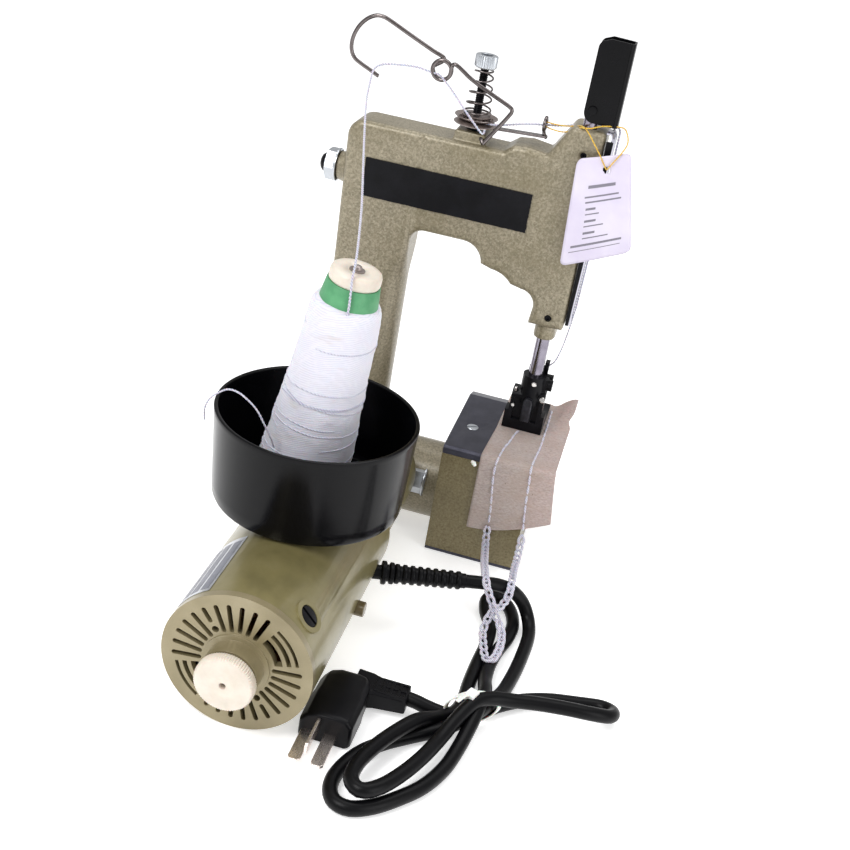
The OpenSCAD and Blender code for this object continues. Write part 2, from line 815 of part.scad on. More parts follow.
guide_route = [[-55, -16.2, 238], [-49, -15, 247.5], [-43, -14, 257.5], [-45, -14, 259.8], [-56, -14, 264.6],
               [-68.5, -14, 270.5], [-77, -14, 276.2], [-79.3, -14, 275.8]];
guide_hook = [[-84.5, -12.5, 278.5], [-100, -14, 284.5], [-119, -14, 292], [-125, -14, 292.8],
              [-131, -14, 290], [-135, -14, 284], [-137, -14, 276], [-136, -14, 269.5], [-131, -14, 265.8],
              [-124, -14, 263]];

module wire_guide() {
    color("#7d7a78") {
        tube(concat(smooth(guide_route, 2),
            [for (i = [1 : 36]) let (a = 30 - 20 * i) [-84.8 + 5.3 * cos(a), -14 + i * 0.06, 272.8 + 5.3 * sin(a)]],
            smooth(guide_hook, 2)), 1.1, 8);
    }
}

module tension_stud() {
    color("#2c2c2e") {
        rod_z(2.5, 232, 280, tension_x, shaft_y);
        translate([tension_x, shaft_y, 242]) cylinder(r = 4.4, h = 2.8);
    }
}

module tension_nut() {
    color("#b9b3b0") difference() {
        translate([tension_x, shaft_y, 276]) linear_extrude(7)
            polygon([for (i = [0 : 39]) let (a = 9 * i, r = 6.2 - (i % 2) * 0.5) [r * cos(a), r * sin(a)]]);
        rod_z(2.55, 275, 281, tension_x, shaft_y);
        rod_z(3.4, 281, 284, tension_x, shaft_y);
    }
}

module tension_spring() {
    color("#3a3a3c") translate([tension_x, shaft_y, 0])
        tube(coil(7.6, 4.6, 250.9, 275, 5), 0.7, 6);
}

module tension_discs() {
    color("#9c918f") translate([tension_x, shaft_y, 0]) difference() {
        union() {
            translate([0, 0, 245]) cylinder(r1 = 12, r2 = 8.5, h = 1.6);
            translate([0, 0, 246.6]) cylinder(r = 8.5, h = 0.9);
            translate([0, 0, 247.5]) cylinder(r1 = 8.5, r2 = 12, h = 1.6);
            translate([0, 0, 249.1]) cylinder(r = 8, h = 1);
        }
        translate([0, 0, 240]) cylinder(r = 2.55, h = 20);
    }
}

module eyelet_bracket() {
    color("#8b8886") difference() {
        union() {
            box([-56, -22], [-7.5, -2.5], [243.6, 245]);
            box([-58.5, -56], [-7.5, -2.5], [242, 245]);
            box([-24, -22], [-7, -3], [244.5, 250]);
            rod_x(4.6, -24, -22, shaft_y, 253);
        }
        rod_x(2.6, -26, -20, shaft_y, 253);
    }
}

module name_plate() {
    color("#17171a") box([-118.5, -22], [arm_front - 0.8, arm_front], [194.7, 217]);
}

strip_side = [[35, 80.5], [24, 72.6], [18, 71.6], [-55.4, 71.6], [-57.4, 69.8], [-58, 24], [-58.5, 24],
              [-57.9, 70], [-55.6, 72.05], [18, 72.05], [24, 73.1], [34.7, 81]];

module paper_strip() {
    color("#b5a39a") difference() {
        slab_x(strip_side, [-15, 26]);
        rod_z(1.4, 70, 75, 0, 0);
    }
}

module hang_tag() {
    color("#dcd8e2") difference() {
        translate([13, -24.5, 213]) rotate([0, 5, 0]) box([-15, 15], [0, 0.6], [-29, 29]);
        rod_y(2, -30, -20, 15.3, 239.5);
    }
}

// The thread from the cone over the hook, through the coil and down to the pad
thread_route = [[-79.6, -170.8, 185], [-79.6, -170, 196], [-80, -168.9, 203.6], [-82, -158, 211.5], [-88, -132, 218], [-98, -98, 228], [-112, -60, 245], [-122, -30, 258],
                [-126, -15.4, 264.5], [-110, -12.4, 268], [-92, -11.5, 269], [-84, -12, 268.5],
                [-76, -17, 262], [-62, -17.5, 244.5]];

module sewing_thread() {
    color("#f4f4f6") tube(thread_route, 0.5, 8);
}

frame_casting();
back_cover();
gear_case();
lower_arm_tube();
looper_block();
bottom_cover();
needle_plate();
fixing_screws();
hex_bolts();
feed_dog();
looper();
lower_shaft();
worm_wheel();
lower_pulley();
upper_shaft();
upper_pulley();
crank_disc();
shaft_bushes();
timing_belt();
connecting_rod();
needle_bar();
needle_clamp();
needle();
presser_bar();
presser_spring();
presser_foot();
foot_screw();
lifter_lever();
face_cover();
cover_edging();
motor_shell();
motor_end_cap();
motor_stator();
motor_rotor();
motor_shaft();
motor_worm();
ball_bearings();
carbon_brushes();
brush_caps();
hand_knob();
switch_button();
strain_relief();
cable_lead();
cable_hank();
plug_body();
plug_pins();
thread_cup();
cone_spindle();
thread_cone();
cone_cap();
wire_guide();
tension_stud();
tension_nut();
tension_spring();
tension_discs();
eyelet_bracket();
name_plate();
paper_strip();
hang_tag();
sewing_thread();
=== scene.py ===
import math
import random

import bpy
import bmesh
import numpy as np
from mathutils import Matrix, Vector, noise


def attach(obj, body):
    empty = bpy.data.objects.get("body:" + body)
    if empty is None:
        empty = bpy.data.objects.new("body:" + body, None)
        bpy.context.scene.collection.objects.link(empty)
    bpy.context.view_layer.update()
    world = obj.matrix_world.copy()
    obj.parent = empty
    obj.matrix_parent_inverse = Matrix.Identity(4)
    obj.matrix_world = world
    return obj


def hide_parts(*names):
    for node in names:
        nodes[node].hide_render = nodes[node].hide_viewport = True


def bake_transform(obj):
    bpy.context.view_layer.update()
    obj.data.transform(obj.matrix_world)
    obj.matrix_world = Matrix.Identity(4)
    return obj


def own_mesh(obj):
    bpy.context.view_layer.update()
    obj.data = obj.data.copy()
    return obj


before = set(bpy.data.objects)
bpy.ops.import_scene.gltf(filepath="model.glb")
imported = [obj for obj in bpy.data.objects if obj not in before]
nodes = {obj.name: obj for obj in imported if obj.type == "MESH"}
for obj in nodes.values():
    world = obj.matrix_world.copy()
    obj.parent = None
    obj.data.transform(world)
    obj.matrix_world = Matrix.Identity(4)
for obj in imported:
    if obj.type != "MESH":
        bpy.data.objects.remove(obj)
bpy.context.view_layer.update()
scene = bpy.context.scene
MM = 0.001


# ---- meshes ----------------------------------------------------------------
# Lengths here are in millimetres in the row's frame, and turn into metres in add().

def add(name, parts, mat, body="machine", replaces=(), sharp=35):
    """One object from a list of (vertices, faces) parts."""
    verts, faces = [], []
    for v, f in parts if isinstance(parts, list) else [parts]:
        start = len(verts)
        verts += [tuple(c * MM for c in p) for p in v]
        faces += [tuple(start + i for i in face) for face in f]
    mesh = bpy.data.meshes.new(name)
    mesh.from_pydata(verts, [], faces)
    return settle(name, mesh, mat, body, replaces, sharp)


def settle(name, mesh, mat, body="machine", replaces=(), sharp=35):
    mesh.validate()
    mesh.materials.clear()
    mesh.materials.append(mat)
    work = bmesh.new()
    work.from_mesh(mesh)
    bmesh.ops.recalc_face_normals(work, faces=work.faces)
    work.to_mesh(mesh)
    work.free()
    mesh.polygons.foreach_set("use_smooth", [True] * len(mesh.polygons))
    mesh.set_sharp_from_angle(angle=math.radians(sharp))
    ob = bpy.data.objects.new(name, mesh)
    scene.collection.objects.link(ob)
    if body:
        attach(ob, body)
    if replaces:
        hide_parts(*([replaces] if isinstance(replaces, str) else replaces))
    return ob


def bevel(ob, width, segments=3, angle=30):
    m = ob.modifiers.new("rounding", "BEVEL")
    m.width, m.segments, m.limit_method = width * MM, segments, "ANGLE"
    m.angle_limit = math.radians(angle)
    m.harden_normals = True
    m.use_clamp_overlap = True
    return ob


def subdivide(ob, levels=2):
    m = ob.modifiers.new("smooth", "SUBSURF")
    m.levels = m.render_levels = levels
    return ob


def clean_copy(node):
    """The node's mesh with its doubled vertices joined and its flat faces whole."""
    mesh = nodes[node].data.copy()
    work = bmesh.new()
    work.from_mesh(mesh)
    bmesh.ops.remove_doubles(work, verts=work.verts, dist=2e-6)
    bmesh.ops.dissolve_limit(work, angle_limit=math.radians(0.6), verts=work.verts, edges=work.edges)
    work.to_mesh(mesh)
    work.free()
    return mesh


def rounded(name, node, width, mat, body="machine", segments=3):
    """A piece that stands for a CAD node, with its edges rounded."""
    return bevel(settle(name, clean_copy(node), mat, body, node), width, segments)


def remeshed(meshes, voxel, passes):
    """One skin over several meshes, smoothed, with the small steps of its grid gone."""
    work = bmesh.new()
    for m in meshes:
        work.from_mesh(m)
    bmesh.ops.remove_doubles(work, verts=work.verts, dist=2e-6)
    mesh = bpy.data.meshes.new("skin")
    work.to_mesh(mesh)
    work.free()
    ob = bpy.data.objects.new("skin", mesh)
    scene.collection.objects.link(ob)
    m = ob.modifiers.new("skin", "REMESH")
    m.mode, m.voxel_size = "VOXEL", voxel * MM
    made = bpy.data.meshes.new_from_object(ob.evaluated_get(bpy.context.evaluated_depsgraph_get()))
    bpy.data.objects.remove(ob)
    co = np.zeros(len(made.vertices) * 3)
    made.vertices.foreach_get("co", co)
    co = relax(made, co.reshape(-1, 3), passes)
    made.vertices.foreach_set("co", co.ravel())
    made.update()
    return made


def relax(mesh, co, passes):
    edges = np.zeros(len(mesh.edges) * 2, int)
    mesh.edges.foreach_get("vertices", edges)
    a, b = edges.reshape(-1, 2).T
    count = np.bincount(a, minlength=len(co)) + np.bincount(b, minlength=len(co))
    for i in range(passes):
        for step in (0.5, -0.52):
            total = np.zeros_like(co)
            np.add.at(total, a, co[b])
            np.add.at(total, b, co[a])
            co = co + step * (total / count[:, None] - co)
    return co


def ring_faces(rings, sides, closed_end=True):
    faces = []
    for i in range(rings - 1):
        for k in range(sides):
            a, b = i * sides + k, i * sides + (k + 1) % sides
            faces.append((a, b, b + sides, a + sides))
    if closed_end:
        faces.append(tuple(range(sides))[::-1])
        faces.append(tuple((rings - 1) * sides + k for k in range(sides)))
    return faces


def resample(points, step):
    """Points a step apart along a smooth line through the given ones."""
    p = [Vector(q) for q in points]
    fine = []
    for i in range(len(p) - 1):
        a, b, c, d = p[max(i - 1, 0)], p[i], p[i + 1], p[min(i + 2, len(p) - 1)]
        n = max(4, int((c - b).length / step * 3))
        for k in range(n):
            t = k / n
            fine.append(0.5 * (2 * b + (c - a) * t + (2 * a - 5 * b + 4 * c - d) * t * t
                               + (3 * b - a - 3 * c + d) * t ** 3))
    fine.append(p[-1])
    length = [0.0]
    for a, b in zip(fine, fine[1:]):
        length.append(length[-1] + (b - a).length)
    count = max(2, round(length[-1] / step))
    out, j = [], 0
    for i in range(count + 1):
        want = length[-1] * i / count
        while j < len(length) - 2 and length[j + 1] < want:
            j += 1
        t = (want - length[j]) / max(length[j + 1] - length[j], 1e-9)
        out.append(fine[j].lerp(fine[j + 1], min(max(t, 0), 1)))
    return out


def tube(points, radius, sides=12, step=None, ends=True):
    """A swept tube; radius is a number or a function of the share of its length."""
    p = resample(points, step) if step else [Vector(q) for q in points]
    t = [(p[min(i + 1, len(p) - 1)] - p[max(i - 1, 0)]).normalized() for i in range(len(p))]
    n = t[0].orthogonal().normalized()
    verts = []
    for i, q in enumerate(p):
        if i:
            n = (n - t[i] * n.dot(t[i])).normalized()
        b = t[i].cross(n)
        r = radius(i / (len(p) - 1)) if callable(radius) else radius
        for k in range(sides):
            a = 2 * math.pi * k / sides
            verts.append(q + r * (math.cos(a) * n + math.sin(a) * b))
    return [tuple(v) for v in verts], ring_faces(len(p), sides, ends)


def lathe(profile, sides=64, at=(0, 0, 0), axis=(0, 0, 1)):
    """A profile of (radius, height) turned about an axis. Radius 0 closes it."""
    turn = Vector((0, 0, 1)).rotation_difference(Vector(axis)).to_matrix()
    verts, rows = [], []
    for r, h in profile:
        if r < 1e-6:
            rows.append([len(verts)])
            verts.append((0, 0, h))
            continue
        rows.append(list(range(len(verts), len(verts) + sides)))
        for k in range(sides):
            a = 2 * math.pi * k / sides
            verts.append((r * math.cos(a), r * math.sin(a), h))
    faces = []
    for low, high in zip(rows, rows[1:]):
        for k in range(sides):
            j = (k + 1) % sides
            if len(low) == 1 and len(high) == 1:
                continue
            if len(low) == 1:
                faces.append((low[0], high[j], high[k]))
            elif len(high) == 1:
                faces.append((low[k], low[j], high[0]))
            else:
                faces.append((low[k], low[j], high[j], high[k]))
    for row, flip in ((rows[0], True), (rows[-1], False)):
        if len(row) > 1 and profile[0] != profile[-1]:
            faces.append(tuple(row[::-1] if flip else row))
    return [tuple(turn @ Vector(v) + Vector(at)) for v in verts], faces


def prism(outline, low, high, axis="y"):
    """An outline extruded along y (points in x, z), x (points in y, z) or z (points in x, y)."""
    place = {"y": lambda p, h: (p[0], h, p[1]), "x": lambda p, h: (h, p[0], p[1]),
             "z": lambda p, h: (p[0], p[1], h)}[axis]
    n = len(outline)
    verts = [place(p, low) for p in outline] + [place(p, high) for p in outline]
    return verts, ring_faces(2, n)


def block(x, y, z):
    return prism([(x[0], y[0]), (x[1], y[0]), (x[1], y[1]), (x[0], y[1])], z[0], z[1], "z")


def arc(cx, cy, r, a0, a1, n=8):
    return [(cx + r * math.cos(math.radians(a0 + (a1 - a0) * i / n)),
             cy + r * math.sin(math.radians(a0 + (a1 - a0) * i / n))) for i in range(n + 1)]


def moved(part, matrix):
    return [tuple(matrix @ Vector(v)) for v in part[0]], part[1]


def turned(axis, degrees, at=(0, 0, 0)):
    at = Matrix.Translation(at)
    return at @ Matrix.Rotation(math.radians(degrees), 4, axis) @ at.inverted()


# ---- materials -------------------------------------------------------------

def linear(text):
    c = [int(text[i:i + 2], 16) / 255 for i in (1, 3, 5)]
    return [x / 12.92 if x <= 0.04045 else ((x + 0.055) / 1.055) ** 2.4 for x in c] + [1]


class Look:
    """A material and short names for the nodes that make it."""

    def __init__(self, name, **sockets):
        self.mat = bpy.data.materials.new(name)
        self.mat.use_nodes = True
        self.tree = self.mat.node_tree
        self.shader = self.tree.nodes["Principled BSDF"]
        self.height = None
        for key, value in sockets.items():
            self.shader.inputs[key.replace("_", " ")].default_value = value

    def node(self, kind, **settings):
        n = self.tree.nodes.new(kind)
        for key, value in settings.items():
            setattr(n, key, value)
        return n

    def link(self, a, b):
        self.tree.links.new(a, b)

    def where(self, scale=(1, 1, 1), turn=(0, 0, 0)):
        c, m = self.node("ShaderNodeTexCoord"), self.node("ShaderNodeMapping")
        m.inputs["Scale"].default_value = scale
        m.inputs["Rotation"].default_value = turn
        self.link(c.outputs["Object"], m.inputs["Vector"])
        return m.outputs["Vector"]

    def noise(self, size, detail=3, rough=0.55, warp=0.0, at=None):
        """Noise with cells of about that many millimetres."""
        n = self.node("ShaderNodeTexNoise")
        n.inputs["Scale"].default_value = 1000 / size
        n.inputs["Detail"].default_value = detail
        n.inputs["Roughness"].default_value = rough
        n.inputs["Distortion"].default_value = warp
        self.link(at or self.where(), n.inputs["Vector"])
        return n.outputs["Fac"]

    def cells(self, size, at=None, smooth=True):
        n = self.node("ShaderNodeTexVoronoi", feature="SMOOTH_F1" if smooth else "F1")
        n.inputs["Scale"].default_value = 1000 / size
        self.link(at or self.where(), n.inputs["Vector"])
        return n.outputs["Distance"]

    def waves(self, size, axis="Z", warp=0.0, at=None, kind="BANDS"):
        n = self.node("ShaderNodeTexWave", wave_type=kind)
        if kind == "BANDS":
            n.bands_direction = axis
        n.inputs["Scale"].default_value = 1000 / size * 0.318
        n.inputs["Distortion"].default_value = warp
        n.inputs["Detail"].default_value = 2
        self.link(at or self.where(), n.inputs["Vector"])
        return n.outputs["Fac"]

    def ramp(self, fac, stops):
        n = self.node("ShaderNodeValToRGB")
        while len(n.color_ramp.elements) < len(stops):
            n.color_ramp.elements.new(0.5)
        for e, (p, c) in zip(n.color_ramp.elements, stops):
            e.position = p
            e.color = linear(c) if isinstance(c, str) else (c, c, c, 1)
        self.link(fac, n.inputs["Fac"])
        return n.outputs["Color"]

    def mix(self, a, b, fac, how="MIX"):
        n = self.node("ShaderNodeMix", data_type="RGBA", blend_type=how)
        for value, socket in ((fac, n.inputs[0]), (a, n.inputs[6]), (b, n.inputs[7])):
            if isinstance(value, str):
                socket.default_value = linear(value)
            elif isinstance(value, (int, float)):
                socket.default_value = value if socket == n.inputs[0] else (value, value, value, 1)
            else:
                self.link(value, socket)
        return n.outputs[2]

    def maths(self, how, a, b):
        n = self.node("ShaderNodeMath", operation=how)
        for value, socket in ((a, n.inputs[0]), (b, n.inputs[1])):
            if isinstance(value, (int, float)):
                socket.default_value = value
            else:
                self.link(value, socket)
        return n.outputs[0]

    def color(self, socket):
        self.link(socket, self.shader.inputs["Base Color"])
        return self

    def rough(self, fac, low, high):
        n = self.node("ShaderNodeMapRange")
        n.inputs["To Min"].default_value, n.inputs["To Max"].default_value = low, high
        self.link(fac, n.inputs["Value"])
        self.link(n.outputs["Result"], self.shader.inputs["Roughness"])
        return self

    def bump(self, fac, depth, strength=1.0):
        """Relief of that many millimetres."""
        n = self.node("ShaderNodeBump")
        n.inputs["Distance"].default_value = depth * MM
        n.inputs["Strength"].default_value = strength
        self.link(fac, n.inputs["Height"])
        if self.height:
            self.link(self.height, n.inputs["Normal"])
        self.height = n.outputs["Normal"]
        self.link(self.height, self.shader.inputs["Normal"])
        return self


def hammered(name, dark, mid, light, grime):
    """Metallic hammer paint: fine dimples, dark speckle in them, and grime in patches."""
    look = Look(name, Metallic=0.35, Coat_Weight=0.35, Coat_Roughness=0.22)
    dimple = look.noise(1.3, 3, 0.6, 0.4)
    speck = look.ramp(look.noise(0.75, 2, 0.7), [(0.34, 0.0), (0.5, 1.0)])
    body = look.ramp(dimple, [(0.28, dark), (0.47, mid), (0.68, light)])
    body = look.mix(look.mix(body, dark, 0.4), body, speck)
    patch = look.ramp(look.noise(38, 4, 0.62), [(0.5, 0.0), (0.72, 0.5)])
    look.color(look.mix(body, grime, patch))
    look.rough(look.noise(2.2, 3), 0.36, 0.55)
    look.bump(dimple, 0.16, 0.75)
    look.bump(look.noise(7, 2), 0.12, 0.5)
    return look.mat


def metal(name, tint, low, high, grain=(1, 1, 1), marks=0.12, stain="#6b6259", amount=0.35):
    """Bare metal with a grain, small scratches and dull stains."""
    look = Look(name, Metallic=1.0)
    fine = look.noise(0.8, 4, 0.6, at=look.where(grain))
    cloud = look.ramp(look.noise(9, 4, 0.6), [(0.45, 0.0), (0.75, amount)])
    look.color(look.mix(look.mix(tint, stain, look.maths("MULTIPLY", fine, marks)), stain, cloud))
    look.rough(look.mix(fine, look.noise(5, 4), 0.5), low, high)
    look.bump(fine, 0.02, 0.35)
    return look.mat


def plastic(name, tone, deep, low, high, coat=0.0, grain=0.6, relief=0.015, patch=0.4, **sockets):
    """Moulded plastic: a faint grain, handling marks in its gloss and a little dust."""
    look = Look(name, Coat_Weight=coat, **sockets)
    dust = look.ramp(look.noise(16, 5, 0.65), [(0.42, 0.0), (0.78, patch)])
    look.color(look.mix(tone, deep, dust))
    look.rough(look.noise(6, 5, 0.7), low, high)
    look.bump(look.noise(grain, 3), relief, 0.5)
    return look.mat


def enamel(name, dark, mid, light, fleck):
    """Smooth metallic enamel: cloudy tone, fine flecks and a soft gloss."""
    look = Look(name, Metallic=0.3, Coat_Weight=0.45, Coat_Roughness=0.16)
    cloud = look.ramp(look.noise(22, 3, 0.5, 0.3), [(0.3, dark), (0.5, mid), (0.72, light)])
    grain = look.ramp(look.noise(0.7, 3, 0.7), [(0.42, 0.0), (0.8, fleck)])
    look.color(look.mix(cloud, dark, grain))
    look.rough(look.noise(9, 4), 0.3, 0.44)
    look.bump(look.noise(1.0, 3), 0.04, 0.5)
    look.bump(look.noise(9, 2), 0.12, 0.5)
    return look.mat


grey_paint = hammered("grey_hammer_paint", "#6b6451", "#857c66", "#9d947f", "#665c3c")
olive_paint = enamel("olive_enamel", "#726a45", "#81784f", "#8d845f", 0.3)
face_paint = enamel("end_cap_enamel", "#7d7253", "#8a7f60", "#968b6e", 0.35)
block_paint = hammered("block_hammer_paint", "#544a2c", "#6d6242", "#7c7151", "#4c4226")
lug_brown = enamel("brown_enamel", "#4f4326", "#66583a", "#776a4c", 0.4)
bright_steel = metal("bright_steel", "#d5d2d0", 0.12, 0.3, (1, 1, 0.08))
round_steel = metal("turned_steel", "#cfccca", 0.16, 0.32, (0.2, 1, 1))
dull_steel = metal("dull_steel", "#a69c99", 0.28, 0.5, (1, 1, 1), 0.3, "#5b4c42", 0.6)
dark_nickel = metal("dark_nickel", "#77706f", 0.14, 0.32, (1, 1, 1), 0.25, "#2c2726", 0.5)
bar_steel = metal("polished_bar", "#8f8a96", 0.1, 0.22, (1, 1, 0.05), 0.2, "#4d4852", 0.4)
chrome = metal("chrome", "#b4b2be", 0.05, 0.14, (1, 1, 0.2), 0.06, "#8c8a90", 0.3)
zinc = metal("zinc_plate", "#c9cdd2", 0.24, 0.42, (1, 1, 1), 0.2, "#8b8f96", 0.4)
bronze = metal("bronze", "#a8844f", 0.3, 0.5)
turned_alloy = metal("turned_alloy", "#b8b8ba", 0.25, 0.4)
foil = metal("foil", "#b9bbc0", 0.16, 0.3, (1, 1, 1), 0.15, "#5c6068", 0.5)
pin_metal = metal("nickelled_pins", "#eadfd9", 0.2, 0.34, (1, 0.1, 1), 0.06, "#9a8a80", 0.15)
black_gloss = plastic("black_gloss_plastic", "#060608", "#0d0d11", 0.12, 0.24, 0.0, Specular_IOR_Level=0.14)
black_satin = plastic("black_satin", "#0a0a0d", "#18181c", 0.28, 0.42, Specular_IOR_Level=0.14)
black_oxide = plastic("black_oxide", "#08080b", "#1c1c22", 0.24, 0.4, 0.0, 0.5, 0.03, 0.6, Specular_IOR_Level=0.14)
worn_black = plastic("worn_black", "#16161b", "#50505a", 0.24, 0.38, 0.0, 0.8, 0.03, 0.7, Metallic=0.4)
black_paint = plastic("black_paint", "#060608", "#0e0e11", 0.2, 0.32, 0.0, 1.6, 0.03, Specular_IOR_Level=0.14)
cable_black = plastic("cable_sheath", "#08080a", "#111114", 0.3, 0.42, 0.0, 0.4, 0.02, Specular_IOR_Level=0.14)
cream = plastic("cream_plastic", "#d8cfc2", "#b5a695", 0.34, 0.5, 0.05, 0.9, 0.03, 0.55,
                Subsurface_Weight=0.12, Subsurface_Scale=0.004)
white_nylon = plastic("white_nylon", "#f3f2ee", "#dcd8ce", 0.3, 0.44, 0, 0.6, 0.02, 0.3,
                      Subsurface_Weight=0.2, Subsurface_Scale=0.003)
nylon = plastic("natural_nylon", "#e6dfcb", "#cdbf9d", 0.35, 0.5, 0, 0.6, 0.02, 0.4)
belt_rubber = plastic("belt_rubber", "#1c1c1e", "#2c2c2f", 0.5, 0.7)
black_plate = plastic("black_name_plate", "#09090c", "#15151a", 0.34, 0.5, 0.0, 3.2, 0.25, 0.8, Specular_IOR_Level=0.14)
label_dark = plastic("label_panel", "#5d5f6b", "#8b8d99", 0.3, 0.5, 0.1, 1.5, 0.02, 0.8)
ink = plastic("grey_ink", "#77747f", "#8f8c98", 0.5, 0.6)
carbon = plastic("carbon", "#1b1b1c", "#303032", 0.5, 0.7)


def dark_plate():
    """Blued steel with a soft sheen and rubbed edges."""
    look = Look("blued_plate", Metallic=0.55)
    rub = look.ramp(look.noise(14, 5, 0.65), [(0.4, 0.0), (0.8, 0.5)])
    look.color(look.mix("#34343f", "#555562", rub))
    look.rough(look.noise(3, 5, 0.7, at=look.where((1, 0.15, 1))), 0.28, 0.46)
    look.bump(look.noise(1.2, 4), 0.02, 0.5)
    return look.mat


def spun(name, light, shade, twist, thick, relief):
    """Twisted yarn: slanting strands and loose fibre."""
    look = Look(name, Roughness=0.75, Sheen_Weight=0.35, Sheen_Roughness=0.5,
                Subsurface_Weight=0.15, Subsurface_Scale=0.001)
    strand = look.waves(twist, "DIAGONAL", 0.6)
    fibre = look.noise(thick, 4, 0.7)
    look.color(look.mix(look.ramp(strand, [(0.0, shade), (0.6, light)]), shade,
                        look.ramp(fibre, [(0.5, 0.0), (0.9, 0.5)])))
    look.bump(strand, relief, 0.8)
    look.bump(fibre, relief * 0.5, 0.5)
    return look.mat


def wound_yarn(name, light, shade, stain):
    """Yarn wound on a cone: shallow crossing helices, fibre, and a few soiled turns."""
    look = Look(name, Roughness=0.82, Sheen_Weight=0.5, Sheen_Roughness=0.45,
                Subsurface_Weight=0.2, Subsurface_Scale=0.002)
    tilt = math.radians(7)
    one = look.waves(0.95, "Z", 1.1, look.where((1, 1, 1), (math.radians(13), tilt, 0)))
    two = look.waves(1.15, "Z", 1.6, look.where((1, 1, 1), (-math.radians(11), tilt, 0)))
    fibre = look.noise(0.5, 5, 0.75)
    weave = look.mix(one, two, look.ramp(look.noise(9, 3), [(0.42, 0.0), (0.58, 1.0)]))
    tone = look.ramp(weave, [(0.0, shade), (0.45, light)])
    tone = look.mix(tone, shade, look.ramp(fibre, [(0.55, 0.0), (0.95, 0.55)]))
    soil = look.ramp(look.noise(11, 3, at=look.where((0.4, 0.4, 1.6))), [(0.62, 0.0), (0.78, 0.45)])
    look.color(look.mix(tone, stain, soil))
    look.bump(weave, 0.06, 0.9)
    look.bump(fibre, 0.12, 0.6)
    look.bump(look.noise(6, 3), 0.5, 0.4)
    return look.mat


def crepe_paper():
    """Kraft crepe paper: cross ribs, fibres and a few dark flecks."""
    look = Look("crepe_paper", Roughness=0.9, Sheen_Weight=0.1, Subsurface_Weight=0.1,
                Subsurface_Scale=0.002)
    rib = look.waves(1.4, "Z", 3.0, look.where((0.35, 1, 1), (math.radians(45), 0, 0)))
    fibre = look.noise(0.9, 6, 0.75, at=look.where((0.5, 1.4, 1.4)))
    tone = look.ramp(fibre, [(0.3, "#8d807b"), (0.55, "#b0a29d"), (0.8, "#c4b8b4")])
    tone = look.mix(tone, "#a08d80", look.ramp(look.noise(20, 4), [(0.4, 0.0), (0.75, 0.6)]))
    fleck = look.ramp(look.noise(1.1, 1, 0.5), [(0.74, 0.0), (0.78, 0.8)])
    look.color(look.mix(tone, "#5f4c40", fleck))
    look.bump(rib, 0.1, 0.5)
    look.bump(fibre, 0.1, 0.7)
    look.bump(look.noise(12, 3), 0.6, 0.5)
    return look.mat


def card():
    look = Look("lilac_card", Roughness=0.5, Coat_Weight=0.1)
    tone = look.ramp(look.noise(18, 4), [(0.3, "#c9c1d6"), (0.75, "#d6d0de")])
    look.color(look.mix(tone, "#c0b5c9", look.ramp(look.noise(0.5, 4), [(0.6, 0.0), (0.95, 0.4)])))
    look.rough(look.noise(5, 3), 0.42, 0.58)
    look.bump(look.noise(0.4, 4), 0.015, 0.5)
    return look.mat


def windings():
    look = Look("windings", Metallic=0.4, Roughness=0.4)
    strand = look.waves(0.9, "Y", 0.4)
    look.color(look.mix(look.ramp(strand, [(0.0, "#3c2512"), (0.6, "#8a5830")]), "#2c2119",
                        look.ramp(look.noise(8, 3), [(0.4, 0.0), (0.8, 0.6)])))
    look.bump(strand, 0.2, 0.7)
    return look.mat


def paper_tube():
    """The cone's green paper, with its spiral seams."""
    look = Look("green_cone_paper", Roughness=0.5, Coat_Weight=0.1)
    tone = look.ramp(look.noise(7, 4), [(0.3, "#3f8558"), (0.7, "#549869")])
    look.color(look.mix(tone, "#8fbf9d", look.ramp(look.noise(0.6, 4), [(0.6, 0.0), (0.9, 0.4)])))
    look.rough(look.noise(3, 4), 0.46, 0.64)
    look.bump(look.waves(3.2, "Z", 0.8), 0.05, 0.4)
    return look.mat


plate_look = dark_plate()
yarn_wound = wound_yarn("wound_yarn", "#d6d5df", "#c6c5d2", "#b3a28e")
# A darker copy of the wound yarn, for the band round the foot of the cone, low in the bowl.
yarn_band = wound_yarn("darker_foot_yarn", "#a3a3b0", "#77788a", "#857e77")
yarn = spun("yarn", "#c9c8d4", "#9d9bb0", 0.9, 0.3, 0.06)
chain_yarn = spun("chain_yarn", "#d5d3de", "#9c98ae", 0.8, 0.3, 0.06)
string_look = spun("yellow_string", "#e3bb3c", "#b8871c", 0.6, 0.2, 0.05)
paper_look, card_look, winding_look, green_paper = crepe_paper(), card(), windings(), paper_tube()

# ---- camera and light --------------------------------------------------------

cam = bpy.data.cameras.new("camera")
cam.lens, cam.sensor_width, cam.clip_start, cam.clip_end = 54.6, 36, 0.01, 20
cam_ob = bpy.data.objects.new("camera", cam)
right, up, back = Vector((0.9587, 0.2365, 0.1579)), Vector((-0.2472, 0.4191, 0.8737)), Vector((0.1404, -0.8766, 0.4602))
cam_ob.matrix_world = Matrix.Translation((0.0522, -0.7096, 0.4238)) @ Matrix((right, up, back)).transposed().to_4x4()
scene.collection.objects.link(cam_ob)
scene.camera = cam_ob

world = bpy.data.worlds.new("studio")
world.use_nodes = True
world.node_tree.nodes["Background"].inputs["Color"].default_value = (1, 1, 1, 1)
world.node_tree.nodes["Background"].inputs["Strength"].default_value = 0.6
scene.world = world
scene.view_settings.view_transform = "Standard"


def softbox(name, place, aim, size, power):
    lamp = bpy.data.lights.new(name, "AREA")
    lamp.shape, lamp.size, lamp.size_y, lamp.energy = "RECTANGLE", size[0], size[1], power
    ob = bpy.data.objects.new(name, lamp)
    ob.location = place
    ob.rotation_euler = (Vector(aim) - Vector(place)).to_track_quat("-Z", "Y").to_euler()
    scene.collection.objects.link(ob)


